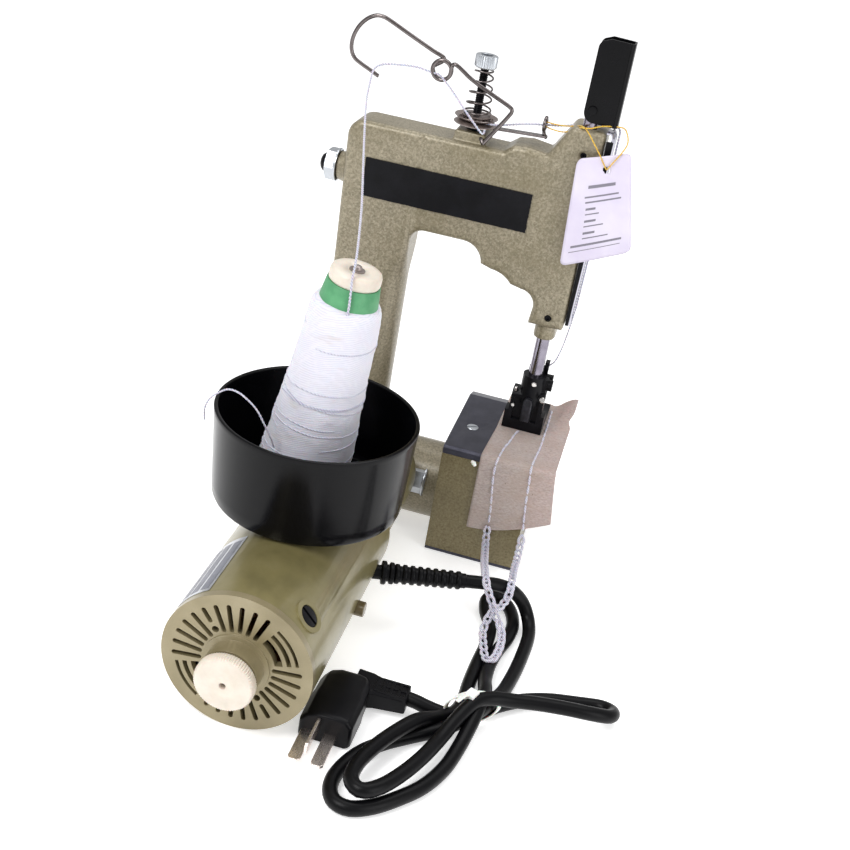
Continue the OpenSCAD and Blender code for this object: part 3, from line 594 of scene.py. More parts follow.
softbox("key", (-0.55, -0.9, 1.15), (-0.03, -0.1, 0.1), (0.5, 0.7), 11)
softbox("fill", (1.0, -0.75, 0.55), (-0.03, -0.1, 0.1), (0.5, 0.9), 4.5)
softbox("top", (0.0, 0.25, 1.3), (-0.03, -0.1, 0.1), (1.1, 0.7), 6)

floor_mesh = bpy.data.meshes.new("floor")
floor_mesh.from_pydata([(-12, -12, 0), (12, -12, 0), (12, 12, 0), (-12, 12, 0)], [], [(0, 1, 2, 3)])
floor = bpy.data.objects.new("floor", floor_mesh)
floor_look = Look("studio_floor", Roughness=0.7, Emission_Strength=0.5)
floor_look.color(floor_look.ramp(floor_look.noise(400, 2), [(0.3, "#f4f4f5"), (0.7, "#fafafa")]))
floor_mesh.materials.append(floor_look.mat)
scene.collection.objects.link(floor)
floor.location.z = -0.0002

# ---- mains cable and plug ------------------------------------------------------

R_CABLE = 3.7
boot_start, boot_way = Vector((-52, -139, 30)), Vector((math.cos(math.radians(16.7)), math.sin(math.radians(16.7)), 0))
cable_route = [
    boot_start + boot_way * 49.6, boot_start + boot_way * 56,
    (7.5, -120.8, 29.8), (14, -116.8, 28), (21, -112, 23.5), (27.5, -108.6, 16), (32.3, -110.5, 9),
    (35.2, -117.5, 5), (36, -127, 4), (35.4, -142, 3.8), (34, -158, 3.8), (31.5, -175, 4.5),
    (28, -188, 7), (23.6, -199.5, 8.6), (17.5, -208.5, 7.4), (7.5, -218, 5), (-5.5, -228, 3.9), (-16, -237.5, 3.8),
    (-24.5, -248.5, 3.8), (-30, -262, 3.8), (-31, -274, 3.8), (-27, -282.5, 3.8), (-19, -284.6, 3.8),
    (-9.5, -279.5, 3.8), (0, -270, 3.8), (9, -258, 3.8), (15.5, -243, 4.2), (19, -228, 6), (21.5, -212, 9.5),
    (22.6, -199.5, 11.5), (23, -187, 10.5), (21, -174, 7), (20.4, -158, 4.4), (22, -143, 3.8),
    (25.3, -128, 3.8), (25.6, -114, 3.8), (21, -101, 4), (13, -94.8, 5), (7.6, -100, 5.5), (9, -111, 5),
    (14.4, -124, 4), (15.2, -140, 3.8), (14, -158, 3.8), (13.4, -176, 4), (13.5, -190, 4), (11.5, -201, 4.2),
    (5, -212, 7), (-3.5, -223, 11), (-11, -235, 11.2), (-17.5, -249, 11.3), (-22, -263, 11.3), (-22, -274.5, 11.3),
    (-16, -279.5, 11.3), (-8.5, -274, 11.3), (-1.5, -262.5, 11.3), (4.5, -248.5, 11.3), (9, -233, 10.5),
    (14, -217.5, 13), (20, -204, 15.5), (27.5, -196.5, 15), (38, -191.8, 13.5), (52, -187.6, 13), (66, -185, 12.8),
    (78, -182, 11.5), (86.5, -177, 9), (88, -170, 6.5), (82, -165.5, 4.6), (70, -167, 3.8), (55, -171, 3.8),
    (42, -177.5, 3.8), (31, -187, 4), (24, -195.5, 4), (16, -202.8, 4), (7.5, -206.3, 5.4), (-1, -207.2, 7), (-8, -206.8, 8.2),
    (-13.5, -206.5, 8.5)]
cable_line = resample(cable_route, 2.6)
cable = add("mains_cable", tube(cable_line, R_CABLE, 16), cable_black, replaces=("cable_lead", "cable_hank"))


def ridged(at, way, start, ribs, pitch, r_low, r_high, tail):
    """A flexible sleeve: ribs with slots between them, then a plain end."""
    profile = [(0, start), (r_low[0], start)]
    for i in range(ribs):
        s = start + 0.6 + i * pitch
        f = i / max(ribs - 1, 1)
        low, high = (r[0] + (r[1] - r[0]) * f for r in (r_low, r_high))
        profile += [(low, s), (high - 0.25, s + 0.1 * pitch), (high, s + 0.22 * pitch), (high, s + 0.5 * pitch),
                    (high - 0.25, s + 0.62 * pitch), (low, s + 0.72 * pitch)]
    profile += [(r_low[1], tail - 0.4), (r_low[1] - 0.4, tail), (0, tail)]
    return lathe(profile, 32, at, way)


relief = [lathe([(0, -4), (4, -4), (4, 3.4), (6.1, 3.6), (6.5, 4.1), (6.5, 5.6), (6, 6.2), (4.7, 6.4), (4.7, 7.6),
                 (5.6, 7.9), (6, 8.4), (6, 9.8), (5.5, 10.4), (4.8, 10.6), (0, 10.6)], 32, boot_start, boot_way),
          ridged(boot_start, boot_way, 10, 9, 4.2, (4.5, 4.1), (5.5, 5.0), 50)]
add("cable_boot", relief, cable_black, replaces="strain_relief")

tie_at = Vector((19.5, -200, 9.2))
tie_line = [tie_at + Vector((0.3 * math.sin(a * 2), 13.6 * math.cos(a) * 0.42, 0)) + Vector((12.6 * math.cos(a), 0, 8.9 * math.sin(a)))
            for a in [2 * math.pi * i / 40 for i in range(41)]]


def strap(points, width, thick, side):
    """A flat strap along points, its width along side."""
    verts = []
    p = [Vector(q) for q in points]
    for i, q in enumerate(p):
        t = (p[min(i + 1, len(p) - 1)] - p[max(i - 1, 0)]).normalized()
        s = (Vector(side) - t * t.dot(Vector(side))).normalized() * width / 2
        u = t.cross(s).normalized() * thick / 2
        verts += [q - s - u, q + s - u, q + s + u, q - s + u]
    return [tuple(v) for v in verts], ring_faces(len(p), 4)


way = Vector((0.42, 0.9, 0.05)).normalized()
tie = [strap(tie_line, 3.4, 0.9, way),
       moved(block((-2.6, 2.6), (-3, 3), (-1.6, 2.4)), Matrix.Translation((18, -203, 18.2))
             @ Matrix.Rotation(math.radians(-22), 4, "Z")),
       strap([(18, -203, 19), (15, -207.5, 21), (12.2, -212.5, 20.2)], 2.4, 0.8, (0.9, -0.4, 0.2))]
cable_tie = bevel(add("cable_tie", tie, white_nylon), 0.3, 2)

lean = Matrix.Translation((-43.5, -222, 0)) @ Matrix.Rotation(math.radians(-3), 4, "Z") @ Matrix.Translation((43.5, 222, 0))
body_side = [(-57, 1.2), (-55.6, 0), (-32, 0), (-30.2, 1.4), (-30, 13.5), (-32.6, 16.6), (-36, 17.4), (-48, 17.4), (-53.5, 15.4), (-57, 11)]


def loft(sections):
    """Skin through outlines with the same number of points."""
    n = len(sections[0])
    return [p for s in sections for p in s], ring_faces(len(sections), n)


def plug_section(y, k, lift=0.0, shift=0.0):
    cx, cz = -43.5, 8.2
    return [(cx + shift + (x - cx) * k, y, cz + lift + (z - cz) * k) for x, z in body_side]


plug_parts = [loft([plug_section(-246, 0.9), plug_section(-244.6, 0.975), plug_section(-243, 0.985), plug_section(-226, 1.0),
                    plug_section(-222, 0.965), plug_section(-214, 0.95), plug_section(-210, 0.9), plug_section(-207.5, 0.8),
                    plug_section(-206.6, 0.66)])]
plug = bevel(add("plug_moulding", plug_parts, black_satin, replaces="plug_body"), 0.9, 3)
neck = [loft([[(x, -207.5 - w, 7.9 - h), (x, -207.5 + w, 7.9 - h), (x, -207.5 + w, 7.9 + h - 1.2), (x, -207.5 + w - 1.6, 7.9 + h), (x, -207.5 - w + 1.6, 7.9 + h), (x, -207.5 - w, 7.9 + h - 1.2)]
              for x, w, h in ((-40, 9, 5.2), (-32, 8.4, 5.2), (-28, 7.2, 4.9), (-12.5, 5.6, 4.4), (-12, 5.2, 4))])]
for i in range(5):
    neck.append(block((-29.6 + 4.0 * i, -28.2 + 4.0 * i), (-213.2 + 0.25 * i, -201.8 - 0.25 * i), (9.5, 13.4 - 0.1 * i)))
neck += [block((-29, -12.4), (-213.2, -211.9), (9, 13.1)), block((-29, -12.4), (-208.1, -206.9), (9, 13.1)), block((-29, -12.4), (-203.1, -201.8), (9, 13.1))]
plug_neck = bevel(add("plug_neck", neck, black_satin), 0.4, 2)
pin_parts = []
for x0, z0, z1, y in ((-54.6, 5.2, 6.8, -268), (-43.4, 5.2, 6.8, -268)):
    pin_parts.append(prism([(x0, -245), (x0, y + 1.4), (x0 + 1.3, y), (x0 + 4.9, y), (x0 + 6.2, y + 1.4), (x0 + 6.2, -245)], z0, z1, "z"))
pin_parts.append(prism([(-245, 9), (-245, 15), (-264.6, 15), (-266, 13.6), (-266, 10.4), (-264.6, 9)], -47.6, -46, "x"))
plug_blades = bevel(add("plug_blades", pin_parts, pin_metal, replaces="plug_pins"), 0.3, 2)

# ---- sewing thread, chain and string ---------------------------------------------


def twisted(points, radius, step=0.8, turns_per_mm=0.28, sides=6):
    """Two strands laid round each other along a line."""
    line = resample(points, step)
    parts = []
    for phase in (0, math.pi):
        strand, n = [], None
        for i, q in enumerate(line):
            t = (line[min(i + 1, len(line) - 1)] - line[max(i - 1, 0)]).normalized()
            n = t.orthogonal().normalized() if n is None else (n - t * n.dot(t)).normalized()
            a = phase + 2 * math.pi * turns_per_mm * step * i
            strand.append(q + radius * 0.5 * (math.cos(a) * n + math.sin(a) * t.cross(n)))
        parts.append(tube(strand, radius * 0.62, sides))
    return line, parts


def free_line(name, points, radius, mat, slot, far_end, lay, body="machine", replaces=(), gaps=(), **how):
    line, parts = twisted(points, radius, **how)
    ob = add(name, parts, mat, body, replaces, 60)
    return ob


supply = [(-79.6, -170.4, 184.5), (-79.3, -170.0, 190), (-79.6, -169.2, 197), (-80, -168.4, 203.6), (-81.5, -160, 210.8),
          (-88, -135, 217), (-94.6, -112, 223.5), (-109.3, -66, 240.5), (-117.4, -40, 252), (-120.9, -24, 259.4),
          (-121.8, -16, 264.6), (-118, -13.2, 267.7), (-108.2, -13.5, 269.6), (-98, -14, 270.4), (-91.1, -14.6, 269.6),
          (-85.6, -14.2, 268.9), (-80.5, -16.5, 265.8), (-75, -17.6, 261.2), (-65.8, -19, 252.6), (-57.4, -19.6, 245),
          (-55.4, -18.4, 243.9), (-56.2, -13, 245.4), (-60, -9, 247.5)]
free_line("supply_thread", supply, 0.62, yarn, "thread_white", "object", "taut", replaces="sewing_thread")
upper = [(-58, -9.5, 247.5), (-50, -13, 248.6), (-42, -10, 250), (-34, -7, 251.4), (-26, -5, 252.4), (-18, -4.8, 253.6),
         (-9, -5.5, 256), (0, -4.6, 258.9), (9, -4.4, 260), (15.4, -6, 259.4), (16.6, -9.2, 250), (15.6, -11.4, 200), (14.8, -12.2, 155)]
free_line("upper_thread", upper, 0.62, yarn, "thread_white", "object", "taut")
lower = [(14.8, -12.2, 155), (14.3, -12.4, 149), (12.4, -9, 131.3), (9.6, -4.6, 117.5), (6.2, -1.6, 111.6), (3.6, -1.2, 107),
         (1.8, -2.2, 96), (1.2, -2.1, 84), (1.0, -1.6, 76), (0.4, -1.0, 72.6)]
needle_thread = free_line("needle_thread", lower, 0.5, yarn, "thread_white", "object", "taut", body=None)
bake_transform(needle_thread)
tail = [(-104.5, -178.5, 112), (-106.2, -180.5, 118), (-109.6, -182, 125), (-114, -182, 131.5), (-119, -182.3, 136), (-125, -181, 138.2),
        (-131, -179, 137.2), (-136.4, -177, 132.8), (-141, -175, 127.6), (-143.6, -173.6, 121), (-143.5, -172.8, 114)]
free_line("loose_tail", tail, 0.5, yarn, "thread_white", "bare", "hanging")


def chain_stitches(points, radius, pitch):
    """A crochet-like chain: each link is a loop that starts inside the last one."""
    line = resample(points, 0.5)
    per = max(4, int(pitch / 0.5))
    parts = []
    for start in range(0, len(line) - per - 1, per):
        piece = line[start:min(start + int(per * 1.55), len(line))]
        left, right = [], []
        side = Vector((0, 0, 0))
        for i, q in enumerate(piece):
            t = (piece[min(i + 1, len(piece) - 1)] - piece[max(i - 1, 0)]).normalized()
            flat = Vector((0, 1, 0)) if abs(t.z) > 0.7 else Vector((0, 0, 1))
            side = t.cross(flat).normalized()
            f = i / max(len(piece) - 1, 1)
            spread = 0.95 * radius * math.sin(math.pi * f) ** 0.7 + 0.4 * radius
            rise = flat * (0.5 * radius * math.cos(math.pi * f)) * (-1 if abs(t.z) > 0.7 else 1)
            left.append(q + side * spread + rise)
            right.append(q - side * spread + rise)
        parts.append(tube(left + right[::-1], radius * 0.74, 7))
    return line, parts


# The chain hangs in front of the cable. Its run is laid out as if it lay on the floor, with each point's rise as a
# fourth number. A point rises on the line to EYE, the camera's place in mm, which keeps its place in the picture.
EYE = (52.2, -709.6, 423.8)
chain_run = [(-4.4, -59.6, 28, 0), (-3.6, -60.2, 18, 0), (-2.6, -60.6, 10, 8), (-1.6, -62, 4.6, 18),
             (0.2, -66.5, 2, 27), (2.2, -74, 1.7, 31.5), (5.4, -84, 1.7, 29), (8.9, -93, 1.7, 24),
             (12.6, -102, 1.7, 19), (15.4, -109.5, 1.8, 14.7), (18.6, -116, 1.8, 11.6), (21.6, -125, 1.8, 9),
             (22.6, -137, 1.8, 7.4), (21.2, -147.5, 1.8, 7), (17.2, -148.6, 1.8, 7), (13.8, -138, 1.8, 7.2),
             (11.2, -127, 1.8, 8), (11.2, -118.6, 3.4, 9.5), (12.8, -110.6, 5.2, 12.9), (15.6, -102, 3.4, 18),
             (17.6, -91, 1.8, 21), (18.2, -81, 1.7, 26), (17.4, -69, 1.8, 29.5), (16.8, -62.5, 4.6, 22.8),
             (16.9, -60.8, 12, 12), (16.9, -60.4, 22, 3.9), (16.4, -60.2, 31, 0)]


def raised(x, y, z, rise):
    share = rise / (EYE[2] - z)
    return tuple(round(a + (e - a) * share, 1) for a, e in zip((x, y, z), EYE))


chain_route = [raised(*spot) for spot in chain_run]
line, parts = chain_stitches(chain_route, 1.15, 5.4)
chain = add("thread_chain", parts, chain_yarn, sharp=60)

string_one = [(-25.2, -5.2, 254.6), (-20, -6.4, 254.4), (-14, -8, 255), (-8, -12, 257), (-3.2, -16.4, 258.8), (1, -21, 257),
              (5, -24.6, 253.4), (9, -26.2, 249), (12, -26.6, 245), (14.2, -26.4, 242), (14.8, -24.6, 241)]
string_two = [(14.9, -24.4, 241), (15.6, -26.4, 242.6), (18, -26.6, 247), (21, -25.6, 252.4), (22.4, -22, 256.5), (20.6, -17, 260.4), (17.4, -13.6, 262),
              (8, -16.6, 261.4), (1, -19.6, 259.4), (-4.5, -16.6, 257.8), (-12.5, -11, 252.6), (-20, -7.4, 251.6), (-25, -5.2, 252.2)]
free_line("tag_string", string_one + string_two[1:], 0.42, string_look, "tag", "object", "hanging", turns_per_mm=0.4)

# ---- castings --------------------------------------------------------------------


def arm_outline():
    top, left = 236.5, -131
    line = [(left + 3, 30), (left + 2, 50), (left + 1, 160)] + arc(left + 9, top - 9.5, 9.5, 180, 92, 10)
    line += [(-43, top), (-38, 240.5), (-30, 241.5), (-19, 240)] + arc(-6, 254, 4, 150, 90, 4) + arc(7.5, 255, 3, 90, 0, 4)
    line += [(10.8, 147), (9.8, 141.5), (-10.5, 141.5)] + arc(-18.5, 151.5, 9, 0, 90, 8) + arc(-38, 151, 17, 40, 88, 8)
    line += arc(-56, 169, 12, 5, 90, 8) + arc(-79, 173, 8, 90, 180, 8) + [(-87, 50), (-87, 30)]
    return np.array(line[::-1])


def roll_rim(mesh, outline, low, high, radius, limit=0.7):
    """Rounds the edge between an outline's wall and the faces at y = low and y = high."""
    co = np.zeros(len(mesh.vertices) * 3)
    mesh.vertices.foreach_get("co", co)
    co = co.reshape(-1, 3) / MM
    near_face = (co[:, 1] < low + radius) | (co[:, 1] > high - radius)
    index = np.nonzero(near_face)[0]
    p = co[index][:, [0, 2]]
    a, b = outline, np.roll(outline, -1, axis=0)
    ab = b - a
    t = np.clip(((p[:, None] - a) * ab).sum(2) / (ab * ab).sum(1), 0, 1)
    foot = a + t[..., None] * ab
    gap = np.linalg.norm(p[:, None] - foot, axis=2)
    best = gap.argmin(1)
    rows = np.arange(len(p))
    d, foot = gap[rows, best], foot[rows, best]
    crossing = ((a[:, 1] > p[:, None, 1]) != (b[:, 1] > p[:, None, 1])) & (
        p[:, None, 0] < (b[:, 0] - a[:, 0]) * (p[:, None, 1] - a[:, 1]) / (b[:, 1] - a[:, 1] + 1e-12) + a[:, 0])
    inside = crossing.sum(1) % 2 == 1
    d = np.where(inside, d, -d)
    edge = ab[best]
    inward = np.stack([-edge[:, 1], edge[:, 0]], 1) / np.linalg.norm(edge, axis=1)[:, None]
    centre = a[best] + 0.5 * edge + inward
    lean = np.where(np.abs(d)[:, None] > 0.5, (p - foot) * np.sign(d)[:, None] / np.maximum(np.abs(d), 1e-6)[:, None], inward)
    y = co[index, 1]
    front = y < (low + high) / 2
    v = np.where(front, y - low, high - y)
    u, w = radius - d, radius - v
    reach = np.hypot(u, w)
    use = (u > 0) & (w > 0) & (reach > radius) & (d > -limit)
    k = np.where(use, radius / np.maximum(reach, 1e-6), 1)
    move_d, move_v = (u - u * k), (w - w * k)
    shift = lean * move_d[:, None]
    co[index, 0] += np.where(use, shift[:, 0], 0)
    co[index, 2] += np.where(use, shift[:, 1], 0)
    co[index, 1] += np.where(use, np.where(front, move_v, -move_v), 0)
    mesh.vertices.foreach_set("co", (co * MM).ravel())
    mesh.update()


def round_column(mesh):
    """Gives the column's inner wall a half-round section that fades out below the arm."""
    co = np.zeros(len(mesh.vertices) * 3)
    mesh.vertices.foreach_get("co", co)
    co = co.reshape(-1, 3) / MM
    fade = np.clip((170 - co[:, 2]) / 24, 0, 1)
    radius = 3.6 + 9.4 * fade * fade * (3 - 2 * fade)
    u = co[:, 0] + 87 + radius
    w = np.abs(co[:, 1] + 5) - 14 + radius
    reach = np.hypot(u, w)
    use = (u > 0) & (w > 0) & (reach > radius) & (co[:, 0] < -86) & (co[:, 2] > 50)
    k = np.where(use, radius / np.maximum(reach, 1e-6), 1)
    co[:, 0] -= np.where(use, u * (1 - k), 0)
    co[:, 1] -= np.where(use, np.sign(co[:, 1] + 5) * w * (1 - k), 0)
    mesh.vertices.foreach_set("co", (co * MM).ravel())
    mesh.update()


def soften(mesh, passes):
    co = np.zeros(len(mesh.vertices) * 3)
    mesh.vertices.foreach_get("co", co)
    mesh.vertices.foreach_set("co", relax(mesh, co.reshape(-1, 3), passes).ravel())
    mesh.update()


arm = remeshed([nodes["frame_casting"].data], 0.9, 2)
roll_rim(arm, arm_outline(), -19, 9, 3.6)
round_column(arm)
soften(arm, 3)
settle("arm_casting", arm, grey_paint, replaces="frame_casting", sharp=60)
rounded("gear_housing", "gear_case", 2.2, olive_paint, segments=4)
rounded("looper_housing", "looper_block", 0.9, block_paint, segments=3)
rounded("cross_tube", "lower_arm_tube", 1.0, grey_paint, segments=3)
rounded("rear_plate", "back_cover", 0.6, grey_paint)
rounded("base_plate", "bottom_cover", 0.4, plate_look)
rounded("throat_plate", "needle_plate", 0.7, plate_look, segments=4)
rounded("motor_body", "motor_shell", 0.9, olive_paint)
rounded("motor_face", "motor_end_cap", 0.3, face_paint, segments=2)

# ---- small hardware -----------------------------------------------------------------


def hex_head(x0, x1, y, z, flats, chamfer=0.8):
    """A hexagon across x, its corners turned away at the end x1."""
    r = flats / math.sqrt(3)
    sign = 1 if x1 > x0 else -1
    parts = []
    sides = 48
    for x, k in ((x0, 0.93), (x0 + sign * 0.5, 1), (x1 - sign * chamfer, 1), (x1 - sign * chamfer * 0.45, 0.5), (x1, 0.0)):
        ring = []
        for i in range(sides):
            a = 2 * math.pi * i / sides
            hexed = r * math.cos(math.pi / 6) / math.cos((a % (math.pi / 3)) - math.pi / 6)
            turned_r = flats / 2 * 0.97
            rr = min(hexed, r * k + turned_r * (1 - k) if k != 0.93 else hexed * 0.985)
            ring.append((x, y + rr * math.cos(a), z + rr * math.sin(a)))
        parts.append(ring)
    return loft(parts)


bolt_parts = [hex_head(-137, -144, -5, 204.5, 16.6), hex_head(-49.5, -57.5, -31.5, 30, 16.6),
              lathe([(0, 0), (9.2, 0), (9.6, 0.3), (9.6, 1.1), (9.2, 1.5), (0, 1.5)], 48, (-137, -5, 204.5), (-1, 0, 0)),
              lathe([(0, 0), (9.0, 0), (9.3, 0.3), (9.3, 1.1), (9.0, 1.4), (0, 1.4)], 48, (-49.6, -31.5, 30), (-1, 0, 0)),
              lathe([(0, 0), (3.2, 0), (3.2, 13.5), (0, 13.5)], 24, (-49.5, -31.5, 30), (1, 0, 0))]
add("tube_skin", lathe([(18, 0), (23.6, 0), (23.7, 0.4), (23.7, 34), (18, 34)], 96, (-70, -14, 23.75), (1, 0, 0)), grey_paint, sharp=40)
add("hexagon_bolts", bolt_parts, zinc, replaces="hex_bolts", sharp=24)
add("bearing_cap", lathe([(5.6, 0), (5.6, 1.2), (5.2, 2.4), (4.1, 3.6), (2.4, 4.3), (0, 4.5)], 32, (-143.6, -5, 204.5), (-1, 0, 0)),
    black_satin)


def slotted(at, axis, r, height, slot=0.9, depth=0.7, turn=0.0, dome=0.35):
    """A round screw head with a driver slot, made of two half discs and the web under the slot."""
    parts = []
    half = slot / 2
    for s in (1, -1):
        pts = []
        a0 = math.asin(half / r)
        for i in range(13):
            a = a0 + (math.pi - 2 * a0) * i / 12
            pts.append((r * math.cos(a), s * r * math.sin(a)))
        rings = []
        for h, k in ((0, 1), (height - dome, 1), (height - dome * 0.3, 0.94), (height, 0.82)):
            rings.append([(x * k, s * half + (y - s * half) * k, h) for x, y in pts][::s])
        parts.append(loft(rings))
    parts.append(block((-r * 0.96, r * 0.96), (-half - 0.02, half + 0.02), (0, height - depth)))
    m = Matrix.Translation(at) @ Vector((0, 0, 1)).rotation_difference(Vector(axis)).to_matrix().to_4x4() @ Matrix.Rotation(math.radians(turn), 4, "Z")
    return [moved(p, m) for p in parts]


screws = slotted((-28.6, -25.5, 70.2), (0, 0, 1), 3.7, 1.5, 0.9, 0.8, 24)
screws.append(lathe([(2, -8), (2, 0), (3.7, 1.0), (0, 1.0)], 32, (-28.6, -25.5, 69.6)))
for i, (x, z) in enumerate(((-124, 70), (-124, 220), (-44, 228), (2, 168), (3, 248))):
    screws += slotted((x, 11, z), (0, 1, 0), 3.2, 2, 0.8, 0.8, 33 * i + 10)
add("cover_screws", screws, zinc, replaces="fixing_screws", sharp=28)
sockets = [lathe([(2.0, 0), (2.0, 2.6), (1.7, 2.9), (1.15, 2.9), (1.05, 1.4), (0, 1.2)], 24, (0.7, -15.2, 147.6), (0, -1, 0)),
           lathe([(1.7, 0), (1.7, 1.6), (1.5, 1.8), (0.9, 1.8), (0.8, 0.6), (0, 0.5)], 24, (0.5, -16.3, 243.9), (0, -1, 0))]
add("set_screws", sockets, black_oxide)

caps = []
for a in (43.5, 223.5):
    m = Matrix.Translation((-88.5, -236.5, 37.5)) @ Matrix.Rotation(math.radians(-a), 4, "Y")
    axis = (m.to_3x3() @ Vector((1, 0, 0)))
    caps += slotted(m @ Vector((35.6, 0, 0)), axis, 5.5, 2.6, 1.5, 1.6, 0, 0.5)
    caps.append(lathe([(5.5, 0), (5.5, 5), (0, 5)], 32, m @ Vector((32.2, 0, 0)), axis))
add("brush_plugs", caps, black_satin, replaces="brush_caps", sharp=28)

# ---- head, needle and presser --------------------------------------------------------

rounded("clamp_block", "needle_clamp", 0.4, black_oxide, "needle_body")
foot_bits = rounded("foot_shell", "presser_foot", 0.55, black_oxide, "presser_body")
rounded("foot_clamp_screw", "foot_screw", 0.35, black_oxide, "presser_body")
spots = [lathe([(0, 0), (1.5, 0), (1.5, 1.0), (1.1, 1.4), (0, 1.45)], 24, (1.2, -17.0, 104.6), (0, -1, 0.1)),
         lathe([(0, 0), (1.7, 0), (1.7, 2.4), (1.3, 2.8), (0, 2.9)], 24, (7.6, -15.4, 95.2), (0.2, -1, 0.35)),
         lathe([(0, 0), (0.9, 0), (0.9, 2.2), (0.5, 2.6), (0, 2.6)], 20, (-8.9, -14.6, 97.0), (0, -0.2, 1)),
         lathe([(0, 0), (1.1, 0), (1.1, 0.9), (0.8, 1.2), (0, 1.2)], 20, (-8.7, -15.9, 88), (0, -1, 0.1))]
add("foot_pins", spots, bright_steel, "presser_body")
rib = loft([[(-2.9 * k, y, 80.2), (-2.9 * k, y, 92.4), (-2.1 * k, y, 94.6), (0, y, 95.4), (2.1 * k, y, 94.6), (2.9 * k, y, 92.4), (2.9 * k, y, 80.2)]
            for y, k in ((-14.6, 1), (-19.0, 0.96), (-19.8, 0.8))])
bevel(add("foot_rib", rib, worn_black, "presser_body"), 0.35, 2)


def channel(y0, y1, x_left, web_x, thick):
    """The outline of the lever's cheeks, its lower left corners rounded."""
    outline = arc(1.2, 267, 5.8, 180, 270, 8) + [(web_x, 260.8), (web_x, 305.6)] + arc(2.2, 304.4, 1.6, 90, 120, 2) + arc(0.4, 300.6, 4.6, 128, 172, 4)
    return outline


lever_side = channel(0, 0, 0, 12.6, 1)
lever_parts = []
for y in (-15.4, -5.6):
    lever_parts.append(prism(lever_side, y, y + 1.0))
web = []
for x, y in ((12.6, -15.4), (13.6, -15.1), (14.4, -14.4), (14.8, -13.4), (14.8, -6.6), (14.4, -5.6), (13.6, -4.9), (12.6, -4.6),
             (12.6, -5.6), (13.2, -5.8), (13.7, -6.4), (13.8, -7), (13.8, -13), (13.7, -13.6), (13.2, -14.2), (12.6, -14.4)):
    web.append((x, y))
lever_parts.append(prism(web, 260.8, 305.6, "z"))
lever = bevel(add("lever_channel", lever_parts, black_paint, "lever_body", "lifter_lever"), 0.22, 2)
lever_pin = [lathe([(0, 0), (1.6, 0), (2.3, 0.2), (2.5, 0.6), (2.3, 1.0), (0, 1.2)], 24, (0, -15.4, 268), (0, -1, 0)),
             lathe([(0, 0), (1.6, 0), (2.3, 0.2), (2.5, 0.6), (2.3, 1.0), (0, 1.2)], 24, (0, -4.6, 268), (0, 1, 0))]
add("lever_rivet", lever_pin, black_paint, "presser_body")

cover = [(13.2, -17), (13.9, -17), (15.0, -16.2), (15.5, -14.4), (15.6, -8), (15.2, -5.2), (14.4, -4.2), (13.6, -4), (13.6, -4.7), (14.2, -5), (14.7, -6), (14.9, -8),
         (14.9, -14), (14.5, -15.6), (13.8, -16.2), (13.2, -16.3)]
rings = []
for z, dx in ((145.4, -1.7), (146.4, -1.6), (200, -0.75), (252, 0.0), (255.4, 0.02), (257.4, -0.5), (258.5, -1.6)):
    rings.append([(x + dx, y, z) for x, y in cover])
add("face_plate", [loft(rings), prism([(-15.8, 257.2), (-5, 257.2), (-5, 258), (-15.8, 258)], 10.2, 14.2, "x")], chrome, replaces="face_cover")
# A black strip along the front edge of the face plate.
rounded("face_plate_black_strip", "cover_edging", 0.35, black_satin)

# ---- motor trim -------------------------------------------------------------------------


def toothed(at, axis, rows, teeth, depth, per=4):
    """Rings whose radius is notched all round: rows of (radius, height, share of the notch)."""
    n = teeth * per
    turn = Vector((0, 0, 1)).rotation_difference(Vector(axis)).to_matrix()
    verts = []
    for r, h, k in rows:
        for i in range(n):
            a = 2 * math.pi * i / n
            rr = r - depth * k * (0.5 - 0.5 * math.cos(teeth * a))
            verts.append(tuple(turn @ Vector((rr * math.cos(a), rr * math.sin(a), h)) + Vector(at)))
    return verts, ring_faces(len(rows), n)


knob_rows = [(11.5, 0, 0), (13.9, 0.1, 0.2), (14.5, 0.6, 1), (14.7, 1.2, 1), (14.7, 4.6, 1), (14.4, 5.4, 0.9), (13.7, 6.0, 0.35), (12.9, 6.25, 0),
             (9.6, 6.3, 0), (9.2, 6.45, 0), (7.0, 6.6, 0), (6.4, 6.9, 0), (4.6, 6.95, 0), (3.9, 6.7, 0), (2.2, 6.6, 0), (1.7, 6.3, 0), (1.6, 3.0, 0), (0.8, 2.9, 0)]
add("knob", toothed((-88.5, -263.2, 37.5), (0, -1, 0), knob_rows, 72, 0.62), cream, "motor", "hand_knob", sharp=50)
add("knob_core", lathe([(0, 0), (1.45, 0), (1.4, 0.3), (0, 0.35)], 24, (-88.5, -266.4, 37.5), (0, -1, 0)), bronze, "motor")
rounded("lock_button", "switch_button", 0.5, lug_brown, "button_body")


def on_shell(r, a0, a1, y0, y1, lift, n=14):
    """A patch of the motor's surface, lift above it."""
    low, high = [], []
    for i in range(n + 1):
        a = math.radians(a0 + (a1 - a0) * i / n)
        low.append((-88.5 + (r + 0.02) * math.cos(a), 37.5 + (r + 0.02) * math.sin(a)))
        high.append((-88.5 + (r + lift) * math.cos(a), 37.5 + (r + lift) * math.sin(a)))
    return prism(low + high[::-1], y0, y1)


add("motor_label", on_shell(37.5, 119, 150, -247.2, -197, 0.22), foil)
label_bits = []
for i in range(3):
    label_bits.append(on_shell(37.72, 121.5 + i * 9.3, 128.6 + i * 9.3, -244.5, -200.5, 0.06, 5))
add("label_panels", label_bits, label_dark)

# ---- cup and cone ---------------------------------------------------------------------------

